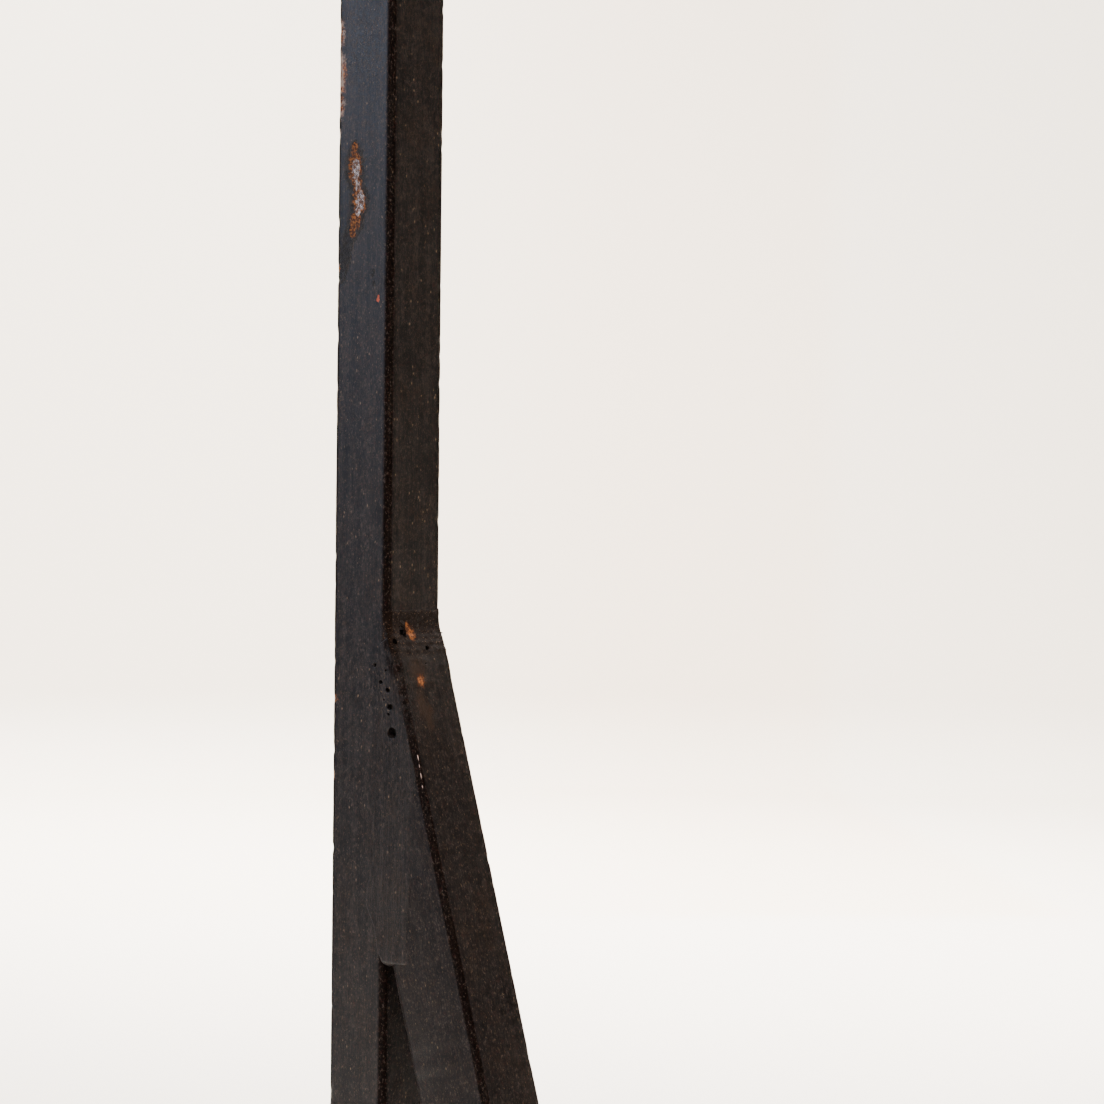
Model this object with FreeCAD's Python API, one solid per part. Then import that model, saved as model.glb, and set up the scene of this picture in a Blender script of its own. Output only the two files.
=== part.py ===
"""Bench retort stand: a square bar post braced by a raking strut, welded to a steel plate.

A ring and a two-jaw clamp hang on the post from boss heads with tommy bar screws.
Sizes are in millimetres. +Z is up. The origin is on the bench, under the middle of the
base plate, and +X runs from the post towards the foot of the strut.
"""
import FreeCAD, Part
import math
import os

V = FreeCAD.Vector
X_AXIS, Y_AXIS, Z_AXIS = V(1, 0, 0), V(0, 1, 0), V(0, 0, 1)
FAR = 2000.0  # longer than anything in the stand, for cuts that go right through
PAST = 1.0  # how far a cutting tool runs past the face it starts at
OVERLAP = 0.5  # how far two solids run into each other before they are fused

# Base plate and its feet
PLATE_LENGTH = 300.0
PLATE_WIDTH = 200.0
PLATE_THICK = 8.0
PLATE_CORNER_R = 15.0
PLATE_EDGE = 0.8
FOOT_HEIGHT = 6.0
FOOT_TOP_R = 11.0
FOOT_BOTTOM_R = 9.0
FOOT_INSET = 24.0  # foot centre from the plate's sides
FOOT_RECESS_R = 4.5
FOOT_RECESS_DEPTH = 3.2
FOOT_SCREW_R = 2.0
FOOT_SCREW_HEAD_R = 4.0
FOOT_SCREW_HEAD = 2.4
FOOT_SCREW_GRIP = 5.5  # length of the screw in the plate
FOOT_SLOT_HALF = 0.5
FOOT_SLOT_DEPTH = 1.0
SCREW_HOLE_GAP = 0.05

# Post and strut
BAR = 12.7
BAR_CORNER_R = 1.15
POST_LENGTH = 762.0
POST_SETBACK = 50.0  # post axis from the plate's back edge
POST_TOP_CHAMFER = 1.5
STRUT_DEPTH = 14.85
STRUT_TILT = 16.65  # degrees from the post
STRUT_HEAD_RISE = 286.0  # where the strut's outer face meets the post, above the plate

# Welds
HEAD_WELD_DROP = 2.3  # the weld starts this far under the point where the faces meet
HEAD_WELD_FLANK = 2.5
STRUT_TIP_CUT = 7.0  # the strut's thin tip is sawn off here and made up in weld
CROTCH_WELD = 5.0
SEAM_PREP = 1.8
POST_WELD_LEG = 5.0
STRUT_WELD_LEG = 4.0

# Boss heads: a channel around the post and a hook for a round rod
BOSS_HEIGHT = 22.0
BOSS_WEB = 9.0
BOSS_WALL = 8.0
BOSS_LUG = 9.0
BOSS_BACK = 9.0  # from the post axis to the channel's open side
BOSS_ROUND = 3.0
BOSS_EDGE = 1.0
CHANNEL_GAP = 0.1
CHANNEL_SIDE_GAP = 0.3
PAD_SPACE = 3.0
GROOVE_HALF = 4.5
ROD_R = 5.0
ROD_SEAT_GAP = 0.1
HOOK_FLOOR_GAP = 0.6
ROD_SCREW_X = 2.8
RING_BOSS_RISE = 456.0  # boss centre above the plate
CLAMP_BOSS_RISE = 626.0

# Boss screws with their brass pads and tommy bars
SCREW_R = 3.95
PAD_R = 3.5
PAD_THICK = 2.0
PAD_GAP = 0.05
NOSE_R = 1.5
NOSE_LENGTH = 1.1
SCREW_SPARE = 8.0  # thread between the lug and the screw's head
HEAD_R = 6.0
HEAD_LENGTH = 12.0
HEAD_EDGE = 0.8
TOMMY_R = 2.0
TOMMY_LENGTH = 40.0
TOMMY_END = 0.6
TOMMY_TURN = {"ring_post": 25.0, "ring_rod": 70.0, "clamp_post": -35.0, "clamp_rod": 15.0}

# Ring and rods
REACH = 166.0  # post axis to the middle of the ring and of the jaws
ROD_TAIL = 40.0
ROD_END_CHAMFER = 0.8
HOOP_INNER_R = 35.0
HOOP_WIDTH = 6.0
HOOP_HEIGHT = 8.0
HOOP_EDGE = 1.0
HOOP_STAND_UP = 0.5  # hoop's top above the rod's top
RING_WELD_LENGTH = 4.0
RING_WELD_LEG = 2.5
RING_WELD_TOE = 0.6

# Clamp: a yoke that swivels on the rod's end, with a fixed arm and a hinged jaw
JAW_REACH = 52.0  # hinge pin to the middle of the jaws
JAW_SWING = 28.0  # degrees from wide open to closed
JAW_HALF_SPAN = 14.0
JAW_SLOPE = 30.0
JAW_THICK = 4.0
JAW_HALF_HEIGHT = 8.0
JAW_ARM_LAP = 1.5  # how far each arm runs under its jaw
LINING = 3.0
LINING_MARGIN = 1.0
BRIDGE = 8.0
BRIDGE_BACK = 14.0  # bridge's front face behind the pin
YOKE_HALF_HEIGHT = 9.0
PIN_OFFSET = 12.0  # pin to the side of the rod's axis
PIN_R = 2.0
PIN_GAP = 0.05
PIN_HEAD_R = 3.2
PIN_HEAD = 1.0
EAR_R = 6.0
EAR_THICK = 4.0
EAR_GAP = 0.2
BARREL_R = 5.0
LEVER_HALF = 3.0
LEVER_START = 7.6
ARM_NEAR = 8.0  # fixed arm's inner face from the rod's axis
ARM_THICK = 7.0
CAM_REACH = 22.0  # pin to the rounded cheeks that the washer bears on
CAM_R = 5.0
CAM_HALF = 7.0
BOLT_R = 3.0
BOLT_HEAD_R = 6.0
BOLT_HEAD = 3.5
BOLT_CROWN = 2.1
BOLT_CHAMFER = 0.6
BOLT_SPARE = 3.0
SLOT_HALF_WIDTH = 3.4
SLOT_HALF_LENGTH = 5.8
WASHER_R = 7.0
WASHER_THICK = 1.5
WASHER_GAP = 0.1
WING_HUB_R = 5.5
WING_HUB_TIP_R = 4.6
WING_HUB_LENGTH = 9.0
WING_SPAN_R = 12.5
WING_THICK = 2.2
WING_RISE = 5.6  # seat to the middle of the wings
WING_WEB_INSET = 1.5
WING_TURN = 35.0
SPRING_WIRE_R = 0.5
SPRING_R = 4.4
SPRING_TURNS = 6.0
SPRING_END_GAP = 0.1
SPIGOT_R = 4.0
SPIGOT_GAP = 0.05
SWIVEL_FACE_GAP = 0.1
SWIVEL_THREAD_R = 3.0
SWIVEL_THREAD_SPARE = 1.5
NUT_ACROSS_FLATS = 10.0
NUT_HEIGHT = 5.0

# Places worked out from the sizes above
PLATE_TOP = FOOT_HEIGHT + PLATE_THICK
POST_X = POST_SETBACK - PLATE_LENGTH / 2
POST_FACE_X = POST_X + BAR / 2
TILT = math.radians(STRUT_TILT)
STRUT_HEAD_Z = PLATE_TOP + STRUT_HEAD_RISE
STRUT_TIP_Z = STRUT_HEAD_Z - STRUT_TIP_CUT
CROTCH_Z = STRUT_HEAD_Z - STRUT_DEPTH / math.sin(TILT)
WEB_INNER_Y = BAR / 2 + CHANNEL_GAP
WEB_OUTER_Y = WEB_INNER_Y + BOSS_WEB
ROD_Y = WEB_OUTER_Y - GROOVE_HALF + ROD_R * math.sqrt(2) + ROD_SEAT_GAP
ROD_BACK_X = POST_X - ROD_TAIL
JAW_X = POST_X + REACH
PIN_X = JAW_X - JAW_REACH
PIN_Y = ROD_Y - PIN_OFFSET
BRIDGE_FRONT_X = PIN_X - BRIDGE_BACK
BRIDGE_REAR_X = BRIDGE_FRONT_X - BRIDGE
RING_Z = PLATE_TOP + RING_BOSS_RISE
CLAMP_Z = PLATE_TOP + CLAMP_BOSS_RISE
HALF_SWING = math.radians(JAW_SWING / 2)
BOLT_X = PIN_X + CAM_REACH * (1 + math.cos(HALF_SWING)) / 2
CAM_OPEN_Y = PIN_Y - CAM_REACH * math.sin(HALF_SWING)
WASHER_Y = CAM_OPEN_Y - CAM_R - WASHER_GAP  # washer's bearing face with the jaw open


def box(x0, x1, y0, y1, z0, z1):
    """A block between two corners."""
    return Part.makeBox(x1 - x0, y1 - y0, z1 - z0, V(x0, y0, z0))


def rod(radius, start, direction, length):
    """A plain cylinder."""
    return Part.makeCylinder(radius, length, start, direction)


def cone(r0, r1, start, direction, length):
    """A cone's frustum, r0 at its start."""
    return Part.makeCone(r0, r1, length, start, direction)


def face_of(points):
    """A flat face inside a ring of points."""
    return Part.Face(Part.makePolygon(points + points[:1]))


def prism_xy(outline, z0, z1):
    """An outline of (x, y) points raised from z0 to z1."""
    return face_of([V(x, y, z0) for x, y in outline]).extrude(V(0, 0, z1 - z0))


def prism_xz(outline, y0, y1):
    """An outline of (x, z) points drawn out from y0 to y1."""
    return face_of([V(x, y0, z) for x, z in outline]).extrude(V(0, y1 - y0, 0))


def rounded_block(x0, x1, y0, y1, z0, z1, radius):
    """A block with its four upright edges rounded."""
    block = box(x0, x1, y0, y1, z0, z1)
    return block.makeFillet(radius, upright_edges(block))


def upright_edges(shape):
    """The straight edges of a shape that run along Z."""
    found = []
    for edge in shape.Edges:
        if isinstance(edge.Curve, Part.Line) and abs(edge.tangentAt(edge.FirstParameter).z) > 0.999:
            found.append(edge)
    return found


def save(name, *solids):
    """Write one node, made of one solid or of several separate ones."""
    shape = solids[0] if len(solids) == 1 else Part.makeCompound(list(solids))
    shape.exportStep("parts/" + name + ".step")


# ---- the welded stand ----------------------------------------------------------------------

def foot_places():
    """Name, x and y of each foot."""
    out_x = PLATE_LENGTH / 2 - FOOT_INSET
    out_y = PLATE_WIDTH / 2 - FOOT_INSET
    places = []
    for end, x in (("back", -out_x), ("front", out_x)):
        for side, y in (("right", -out_y), ("left", out_y)):
            places.append((end + "_" + side, x, y))
    return places


def base_plate():
    """The flat base, with a blind hole over each foot."""
    half_x, half_y = PLATE_LENGTH / 2, PLATE_WIDTH / 2
    plate = rounded_block(-half_x, half_x, -half_y, half_y, FOOT_HEIGHT, PLATE_TOP, PLATE_CORNER_R)
    rims = [e for e in plate.Edges if abs(e.BoundBox.ZMax - e.BoundBox.ZMin) < 1e-6]
    plate = plate.makeChamfer(PLATE_EDGE, rims)
    for _, x, y in foot_places():
        depth = FOOT_SCREW_GRIP + SCREW_HOLE_GAP
        hole = rod(FOOT_SCREW_R + SCREW_HOLE_GAP, V(x, y, FOOT_HEIGHT), Z_AXIS, depth)
        plate = plate.cut(hole)
    return plate


def rubber_foot(x, y):
    """A tapered foot with a recess for its screw's head."""
    foot = cone(FOOT_BOTTOM_R, FOOT_TOP_R, V(x, y, 0), Z_AXIS, FOOT_HEIGHT)
    foot = foot.cut(rod(FOOT_RECESS_R, V(x, y, 0), Z_AXIS, FOOT_RECESS_DEPTH))
    return foot.cut(rod(FOOT_SCREW_R + SCREW_HOLE_GAP, V(x, y, 0), Z_AXIS, FOOT_HEIGHT))


def foot_screw(x, y):
    """A pan head screw, seated in the foot's recess."""
    seat = FOOT_RECESS_DEPTH
    head = rod(FOOT_SCREW_HEAD_R, V(x, y, seat - FOOT_SCREW_HEAD), Z_AXIS, FOOT_SCREW_HEAD)
    shank_length = FOOT_HEIGHT - seat + FOOT_SCREW_GRIP
    shank = rod(FOOT_SCREW_R, V(x, y, seat), Z_AXIS, shank_length)
    slot_top = seat - FOOT_SCREW_HEAD + FOOT_SLOT_DEPTH
    slot = box(x - FAR, x + FAR, y - FOOT_SLOT_HALF, y + FOOT_SLOT_HALF, 0, slot_top)
    return head.fuse(shank).removeSplitter().cut(slot)


def post():
    """The upright square bar, with a chamfer round its top."""
    half = BAR / 2
    top = PLATE_TOP + POST_LENGTH
    bar = rounded_block(POST_X - half, POST_X + half, -half, half, PLATE_TOP, top, BAR_CORNER_R)
    crown = [e for e in bar.Edges if e.BoundBox.ZMin > top - 1e-6]
    return bar.makeChamfer(POST_TOP_CHAMFER, crown)


def raking_bar():
    """The strut's bar before it is cut to fit, longer than it needs to be at both ends."""
    half = BAR / 2
    bar = rounded_block(-STRUT_DEPTH, 0, -half, half, -FAR, FAR, BAR_CORNER_R)
    bar.rotate(V(0, 0, 0), Y_AXIS, -STRUT_TILT)
    bar.translate(V(POST_FACE_X, 0, STRUT_HEAD_Z))
    return bar


def seam_groove(side):
    """The prepared groove down one side of the joint, filled with weld. side is -1 or 1."""
    surface = side * BAR / 2
    root = side * (BAR / 2 - BAR_CORNER_R)
    outline = [
        (POST_FACE_X - BAR_CORNER_R, surface),
        (POST_FACE_X + SEAM_PREP, surface),
        (POST_FACE_X, root),
        (POST_FACE_X - BAR_CORNER_R, root),
    ]
    return prism_xy(outline, CROTCH_Z, STRUT_TIP_Z)


def strut():
    """The raking bar, cut to the post's face and the plate's top."""
    room = box(POST_FACE_X, FAR, -BAR, BAR, PLATE_TOP, STRUT_TIP_Z)
    bar = raking_bar().common(room)
    for side in (-1, 1):
        bar = bar.cut(seam_groove(side))
    return bar


def strut_head_weld():
    """The weld that makes up the strut's tip, dressed down on to the post."""
    flank = HEAD_WELD_DROP + HEAD_WELD_FLANK
    slope = math.tan(TILT)
    outline = [
        (POST_FACE_X, STRUT_HEAD_Z - HEAD_WELD_DROP),
        (POST_FACE_X + flank * slope, STRUT_HEAD_Z - flank),
        (POST_FACE_X + STRUT_TIP_CUT * slope, STRUT_TIP_Z),
        (POST_FACE_X, STRUT_TIP_Z),
    ]
    half = BAR / 2 - BAR_CORNER_R / 2
    return prism_xz(outline, -half, half)


def strut_crotch_weld():
    """The wedge of weld in the narrow end of the gap between post and strut."""
    bottom = CROTCH_Z - CROTCH_WELD
    outline = [
        (POST_FACE_X, CROTCH_Z),
        (POST_FACE_X, bottom),
        (POST_FACE_X + CROTCH_WELD * math.tan(TILT), bottom),
    ]
    half = BAR / 2 - BAR_CORNER_R
    return prism_xz(outline, -half, half)


def sloping_collar(x0, x1, half_y, leg, lean):
    """A fillet weld around a bar on the plate: wide at the plate, the bar's size at its top."""
    rims = []
    for z, grow, shift in ((PLATE_TOP, leg, 0.0), (PLATE_TOP + leg, 0.0, -leg * lean)):
        left, right, side = x0 - grow + shift, x1 + grow + shift, half_y + grow
        corners = [V(left, -side, z), V(right, -side, z), V(right, side, z), V(left, side, z)]
        rims.append(Part.makePolygon(corners + corners[:1]))
    return Part.makeLoft(rims, True, True)


def post_foot_weld():
    """The fillet weld around the post's foot."""
    half = BAR / 2
    return sloping_collar(POST_X - half, POST_X + half, half, POST_WELD_LEG, 0.0).cut(post())


def strut_foot_weld():
    """The fillet weld around the strut's foot."""
    outer = POST_FACE_X + STRUT_HEAD_RISE * math.tan(TILT)
    inner = outer - STRUT_DEPTH / math.cos(TILT)
    collar = sloping_collar(inner, outer, BAR / 2, STRUT_WELD_LEG, math.tan(TILT))
    return collar.cut(raking_bar())


def make_stand():
    """Every piece of the welded stand."""
    save("base_plate", base_plate())
    for name, x, y in foot_places():
        save("rubber_foot_" + name, rubber_foot(x, y))
    save("foot_screws", *[foot_screw(x, y) for _, x, y in foot_places()])
    save("post", post())
    save("strut", strut())
    save("strut_head_weld", strut_head_weld())
    save("strut_crotch_weld", strut_crotch_weld())
    save("strut_seam_welds", *[seam_groove(side).cut(post()) for side in (-1, 1)])
    save("post_foot_weld", post_foot_weld())
    save("strut_foot_weld", strut_foot_weld())


# ---- boss heads ------------------------------------------------------------------------------

def boss_casting(z):
    """A channel round the post, open to the back, and a hook for the rod, open upwards."""
    half = BOSS_HEIGHT / 2
    x0, x1 = POST_X - BOSS_BACK, POST_FACE_X + CHANNEL_SIDE_GAP + BOSS_WALL
    lug_inner = -(BAR / 2 + PAD_SPACE)
    outer_inner = ROD_Y + ROD_R + PAD_SPACE
    y0, y1 = lug_inner - BOSS_LUG, outer_inner + BOSS_LUG
    body = rounded_block(x0, x1, y0, y1, z - half, z + half, BOSS_ROUND)
    rims = [e for e in body.Edges if abs(e.BoundBox.ZMax - e.BoundBox.ZMin) < 1e-6]
    body = body.makeFillet(BOSS_EDGE, rims)
    channel_x = POST_FACE_X + CHANNEL_SIDE_GAP
    body = body.cut(box(x0 - PAST, channel_x, lug_inner, WEB_INNER_Y, z - FAR, z + FAR))
    floor_z = z - ROD_R - HOOK_FLOOR_GAP
    body = body.cut(box(x0 - PAST, x1 + PAST, WEB_OUTER_Y, outer_inner, floor_z, z + FAR))
    groove = [
        (WEB_OUTER_Y + PAST, z - GROOVE_HALF - PAST),
        (WEB_OUTER_Y - GROOVE_HALF, z),
        (WEB_OUTER_Y + PAST, z + GROOVE_HALF + PAST),
    ]
    across = V(x1 - x0 + 2 * PAST, 0, 0)
    body = body.cut(face_of([V(x0 - PAST, y, h) for y, h in groove]).extrude(across))
    hole_r = SCREW_R + SCREW_HOLE_GAP
    for x, y in ((POST_X, y0), (POST_X + ROD_SCREW_X, outer_inner)):
        body = body.cut(rod(hole_r, V(x, y - PAST, z), Y_AXIS, BOSS_LUG + 2 * PAST))
    return body


def screw_pad(tip, outward):
    """A brass pad against the bar or rod, with a blind hole for the screw's nose."""
    pad = rod(PAD_R, tip + outward * PAD_GAP, outward, PAD_THICK)
    depth = NOSE_LENGTH + SCREW_HOLE_GAP
    hole_start = tip + outward * (PAD_GAP + PAD_THICK - depth)
    return pad.cut(rod(NOSE_R + SCREW_HOLE_GAP, hole_start, outward, depth))


def head_centre(tip, outward):
    """The middle of a screw's barrel head."""
    return tip + outward * (PAD_SPACE + BOSS_LUG + SCREW_SPARE + HEAD_LENGTH / 2)


def bar_direction(turn, outward):
    """Which way a tommy bar lies at rest: turned from upright about the screw."""
    return FreeCAD.Rotation(outward, turn).multVec(Z_AXIS)


def boss_screw(tip, outward, turn):
    """Nose, threaded shank and barrel head with a cross hole."""
    shoulder = PAD_GAP + PAD_THICK + SCREW_HOLE_GAP
    nose_start = tip + outward * (shoulder - NOSE_LENGTH)
    nose = rod(NOSE_R, nose_start, outward, NOSE_LENGTH + OVERLAP)
    head_start = PAD_SPACE + BOSS_LUG + SCREW_SPARE
    shank = rod(SCREW_R, tip + outward * shoulder, outward,
                head_start - shoulder + OVERLAP)
    head = rod(HEAD_R, tip + outward * head_start, outward, HEAD_LENGTH)
    rims = [e for e in head.Edges if isinstance(e.Curve, Part.Circle)]
    head = head.makeChamfer(HEAD_EDGE, rims)
    screw = nose.fuse(shank).fuse(head).removeSplitter()
    along = bar_direction(turn, outward)
    start = head_centre(tip, outward) - along * (HEAD_R + PAST)
    return screw.cut(rod(TOMMY_R + SCREW_HOLE_GAP, start, along, 2 * (HEAD_R + PAST)))


def tommy_bar(tip, outward, turn):
    """The loose bar through a screw's head."""
    along = bar_direction(turn, outward)
    start = head_centre(tip, outward) - along * (TOMMY_LENGTH / 2)
    bar = rod(TOMMY_R, start, along, TOMMY_LENGTH)
    rims = [e for e in bar.Edges if isinstance(e.Curve, Part.Circle)]
    return bar.makeFillet(TOMMY_END, rims)


def make_boss(name, z):
    """One boss head with both of its screws."""
    save(name + "_boss", boss_casting(z))
    screws = {
        name + "_post": (V(POST_X, -BAR / 2, z), V(0, -1, 0)),
        name + "_rod": (V(POST_X + ROD_SCREW_X, ROD_Y + ROD_R, z), V(0, 1, 0)),
    }
    for label, (tip, outward) in screws.items():
        turn = TOMMY_TURN[label]
        save(label + "_pad", screw_pad(tip, outward))
        save(label + "_screw", boss_screw(tip, outward, turn))
        save(label + "_tommy_bar", tommy_bar(tip, outward, turn))


# ---- ring ------------------------------------------------------------------------------------

def ring_hoop():
    """A flat-topped hoop with broken edges."""
    top = RING_Z + ROD_R + HOOP_STAND_UP
    bottom = top - HOOP_HEIGHT
    inner, outer = HOOP_INNER_R, HOOP_INNER_R + HOOP_WIDTH
    section = [
        V(inner + HOOP_EDGE, 0, bottom), V(outer - HOOP_EDGE, 0, bottom),
        V(outer, 0, bottom + HOOP_EDGE), V(outer, 0, top - HOOP_EDGE),
        V(outer - HOOP_EDGE, 0, top), V(inner + HOOP_EDGE, 0, top),
        V(inner, 0, top - HOOP_EDGE), V(inner, 0, bottom + HOOP_EDGE),
    ]
    hoop = face_of(section).revolve(V(0, 0, 0), Z_AXIS, 360)
    hoop.translate(V(JAW_X, ROD_Y, 0))
    return hoop


def hoop_outside():
    """All the space inside the hoop's outer wall, to cope the rod's end to it."""
    return rod(HOOP_INNER_R + HOOP_WIDTH, V(JAW_X, ROD_Y, -FAR), Z_AXIS, 2 * FAR)


def plain_rod(z, end_x):
    """A round rod along X from behind the post, with its back end chamfered."""
    bar = rod(ROD_R, V(ROD_BACK_X, ROD_Y, z), X_AXIS, end_x - ROD_BACK_X)
    back = [e for e in bar.Edges if isinstance(e.Curve, Part.Circle) and e.BoundBox.XMax < POST_X]
    return bar.makeChamfer(ROD_END_CHAMFER, back)


def ring_weld():
    """The weld between the rod's end and the hoop, dressed flush with the hoop's top."""
    wall_x = JAW_X - HOOP_INNER_R - HOOP_WIDTH
    start = V(wall_x - RING_WELD_LENGTH, ROD_Y, RING_Z)
    length = RING_WELD_LENGTH + PAST
    collar = cone(ROD_R + RING_WELD_TOE, ROD_R + RING_WELD_LEG, start, X_AXIS, length)
    collar = collar.cut(rod(ROD_R, start - X_AXIS * PAST, X_AXIS, length + 2 * PAST))
    above = box(wall_x - FAR, wall_x + FAR, -FAR, FAR, RING_Z + ROD_R + HOOP_STAND_UP, FAR)
    return collar.cut(above).cut(hoop_outside())


def ring_rod():
    """The ring's rod, coped to the hoop."""
    return plain_rod(RING_Z, JAW_X - HOOP_INNER_R).cut(hoop_outside())


def make_ring():
    """The ring that rests a gauze, a funnel or a flask."""
    save("ring_rod", ring_rod())
    save("ring_hoop", ring_hoop())
    save("ring_weld", ring_weld())


# ---- clamp -----------------------------------------------------------------------------------
# Clamp outlines are drawn from the pin: u runs along X from it, and w runs across, away from
# the middle of the jaws. side is 1 for the fixed arm and -1 for the hinged one.

def vee(near, far, wing_w, shorten=0.0):
    """A vee-shaped band between two offsets from the jaw's gripping line."""
    slope = math.radians(JAW_SLOPE)
    rise = JAW_HALF_SPAN * math.tan(slope)
    tangent = (math.cos(slope), math.sin(slope))
    left_side, right_side = [], []
    for offset in (near, far):
        step_u, step_w = math.sin(slope) * offset, math.cos(slope) * offset
        inset_u, inset_w = tangent[0] * shorten, tangent[1] * shorten
        left = (JAW_REACH - JAW_HALF_SPAN - step_u + inset_u, wing_w + step_w + inset_w)
        right = (JAW_REACH + JAW_HALF_SPAN + step_u - inset_u, wing_w + step_w + inset_w)
        left_side.append(left)
        right_side.append((right, (JAW_REACH, wing_w + rise + offset / math.cos(slope))))
    (right_near, apex_near), (right_far, apex_far) = right_side
    return [left_side[0], apex_near, right_near, right_far, apex_far, left_side[1]]


def clear_of_jaw(wing_w):
    """The space that the jaw grips in, cut out of its arm."""
    slope = math.radians(JAW_SLOPE)
    left = JAW_REACH - JAW_HALF_SPAN
    right = JAW_REACH + JAW_HALF_SPAN
    apex = (JAW_REACH, wing_w + JAW_HALF_SPAN * math.tan(slope))
    deep = wing_w - 4 * JAW_HALF_SPAN
    return [(left, deep), (left, wing_w), apex, (right, wing_w), (right, deep)]


def placed(outline, side, base_y):
    """Outline points in the model's own x and y."""
    return [(PIN_X + u, base_y + side * w) for u, w in outline]


def clamp_yoke():
    """Bridge, hinge ears and the fixed arm with its jaw."""
    tall = YOKE_HALF_HEIGHT
    left = PIN_Y - EAR_R
    right = ROD_Y + ARM_NEAR + ARM_THICK
    z0, z1 = CLAMP_Z - tall, CLAMP_Z + tall
    bridge = box(BRIDGE_REAR_X, BRIDGE_FRONT_X, left, right, z0, z1)
    ears = box(BRIDGE_FRONT_X, PIN_X, left, PIN_Y + EAR_R, z0, z1)
    ears = ears.fuse(rod(EAR_R, V(PIN_X, PIN_Y, z0), Z_AXIS, 2 * tall))
    inner = tall - EAR_THICK
    ears = ears.cut(box(BRIDGE_FRONT_X, FAR, -FAR, FAR, CLAMP_Z - inner, CLAMP_Z + inner))
    low, high = CLAMP_Z - JAW_HALF_HEIGHT, CLAMP_Z + JAW_HALF_HEIGHT
    arm_end = PIN_X + JAW_REACH - JAW_HALF_SPAN + JAW_ARM_LAP
    arm = box(BRIDGE_FRONT_X - PAST, arm_end, ROD_Y + ARM_NEAR, right, low, high)
    wing_w = PIN_OFFSET
    jaw = prism_xy(placed(vee(0, JAW_THICK, wing_w), 1, ROD_Y), low, high)
    grip = prism_xy(placed(clear_of_jaw(wing_w), 1, ROD_Y), low - PAST, high + PAST)
    yoke = bridge.fuse(ears).fuse(arm.fuse(jaw).cut(grip)).removeSplitter()
    for z in (z0 - PAST, CLAMP_Z):
        yoke = yoke.cut(rod(PIN_R + SCREW_HOLE_GAP, V(PIN_X, PIN_Y, z), Z_AXIS, tall + PAST))
    spigot_start = V(BRIDGE_REAR_X - PAST, ROD_Y, CLAMP_Z)
    spigot_hole = rod(SPIGOT_R + SPIGOT_GAP, spigot_start, X_AXIS, BRIDGE + 2 * PAST)
    bolt_hole = rod(BOLT_R + SCREW_HOLE_GAP, V(BOLT_X, ROD_Y, CLAMP_Z), Y_AXIS, FAR)
    return yoke.cut(spigot_hole).cut(bolt_hole)


def jaw_lining(side, base_y, wing_w):
    """The soft lining on a jaw's gripping face."""
    half = JAW_HALF_HEIGHT - LINING_MARGIN
    outline = placed(vee(-LINING, 0, wing_w, LINING_MARGIN), side, base_y)
    return prism_xy(outline, CLAMP_Z - half, CLAMP_Z + half)


def opened(shape):
    """A piece of the hinged jaw, swung to wide open."""
    turned = shape.copy()
    turned.rotate(V(PIN_X, PIN_Y, 0), Z_AXIS, -JAW_SWING / 2)
    return turned


def moving_jaw():
    """Barrel, arm with a slot and rounded cheeks, and the jaw."""
    low, high = CLAMP_Z - JAW_HALF_HEIGHT, CLAMP_Z + JAW_HALF_HEIGHT
    barrel_half = YOKE_HALF_HEIGHT - EAR_THICK - EAR_GAP
    barrel = rod(BARREL_R, V(PIN_X, PIN_Y, CLAMP_Z - barrel_half), Z_AXIS, 2 * barrel_half)
    y0, y1 = PIN_Y - LEVER_HALF, PIN_Y + LEVER_HALF
    neck = box(PIN_X, PIN_X + LEVER_START + PAST, y0, y1,
               CLAMP_Z - barrel_half, CLAMP_Z + barrel_half)
    arm_end = PIN_X + JAW_REACH - JAW_HALF_SPAN + JAW_ARM_LAP
    arm = box(PIN_X + LEVER_START, arm_end, y0, y1, low, high)
    jaw = prism_xy(placed(vee(0, JAW_THICK, 0), -1, PIN_Y), low, high)
    grip = prism_xy(placed(clear_of_jaw(0), -1, PIN_Y), low - PAST, high + PAST)
    cam_x = PIN_X + CAM_REACH
    cam = rod(CAM_R, V(cam_x, PIN_Y, CLAMP_Z - CAM_HALF), Z_AXIS, 2 * CAM_HALF)
    cam = cam.common(box(cam_x - CAM_R, cam_x + CAM_R, PIN_Y - CAM_R, PIN_Y, low, high))
    slot = box(cam_x - SLOT_HALF_LENGTH, cam_x + SLOT_HALF_LENGTH, PIN_Y - FAR, PIN_Y + FAR,
               CLAMP_Z - SLOT_HALF_WIDTH, CLAMP_Z + SLOT_HALF_WIDTH)
    lever = barrel.fuse(neck).fuse(arm.fuse(jaw).cut(grip)).fuse(cam).removeSplitter().cut(slot)
    return opened(lever.cut(rod(PIN_R + PIN_GAP, V(PIN_X, PIN_Y, low), Z_AXIS, high - low)))


def jaw_pin():
    """The hinge pin, headed at both ends."""
    tall = YOKE_HALF_HEIGHT
    pin = rod(PIN_R, V(PIN_X, PIN_Y, CLAMP_Z - tall), Z_AXIS, 2 * tall)
    for z in (CLAMP_Z - tall - PIN_HEAD, CLAMP_Z + tall):
        pin = pin.fuse(rod(PIN_HEAD_R, V(PIN_X, PIN_Y, z), Z_AXIS, PIN_HEAD))
    return pin.removeSplitter()


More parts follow.
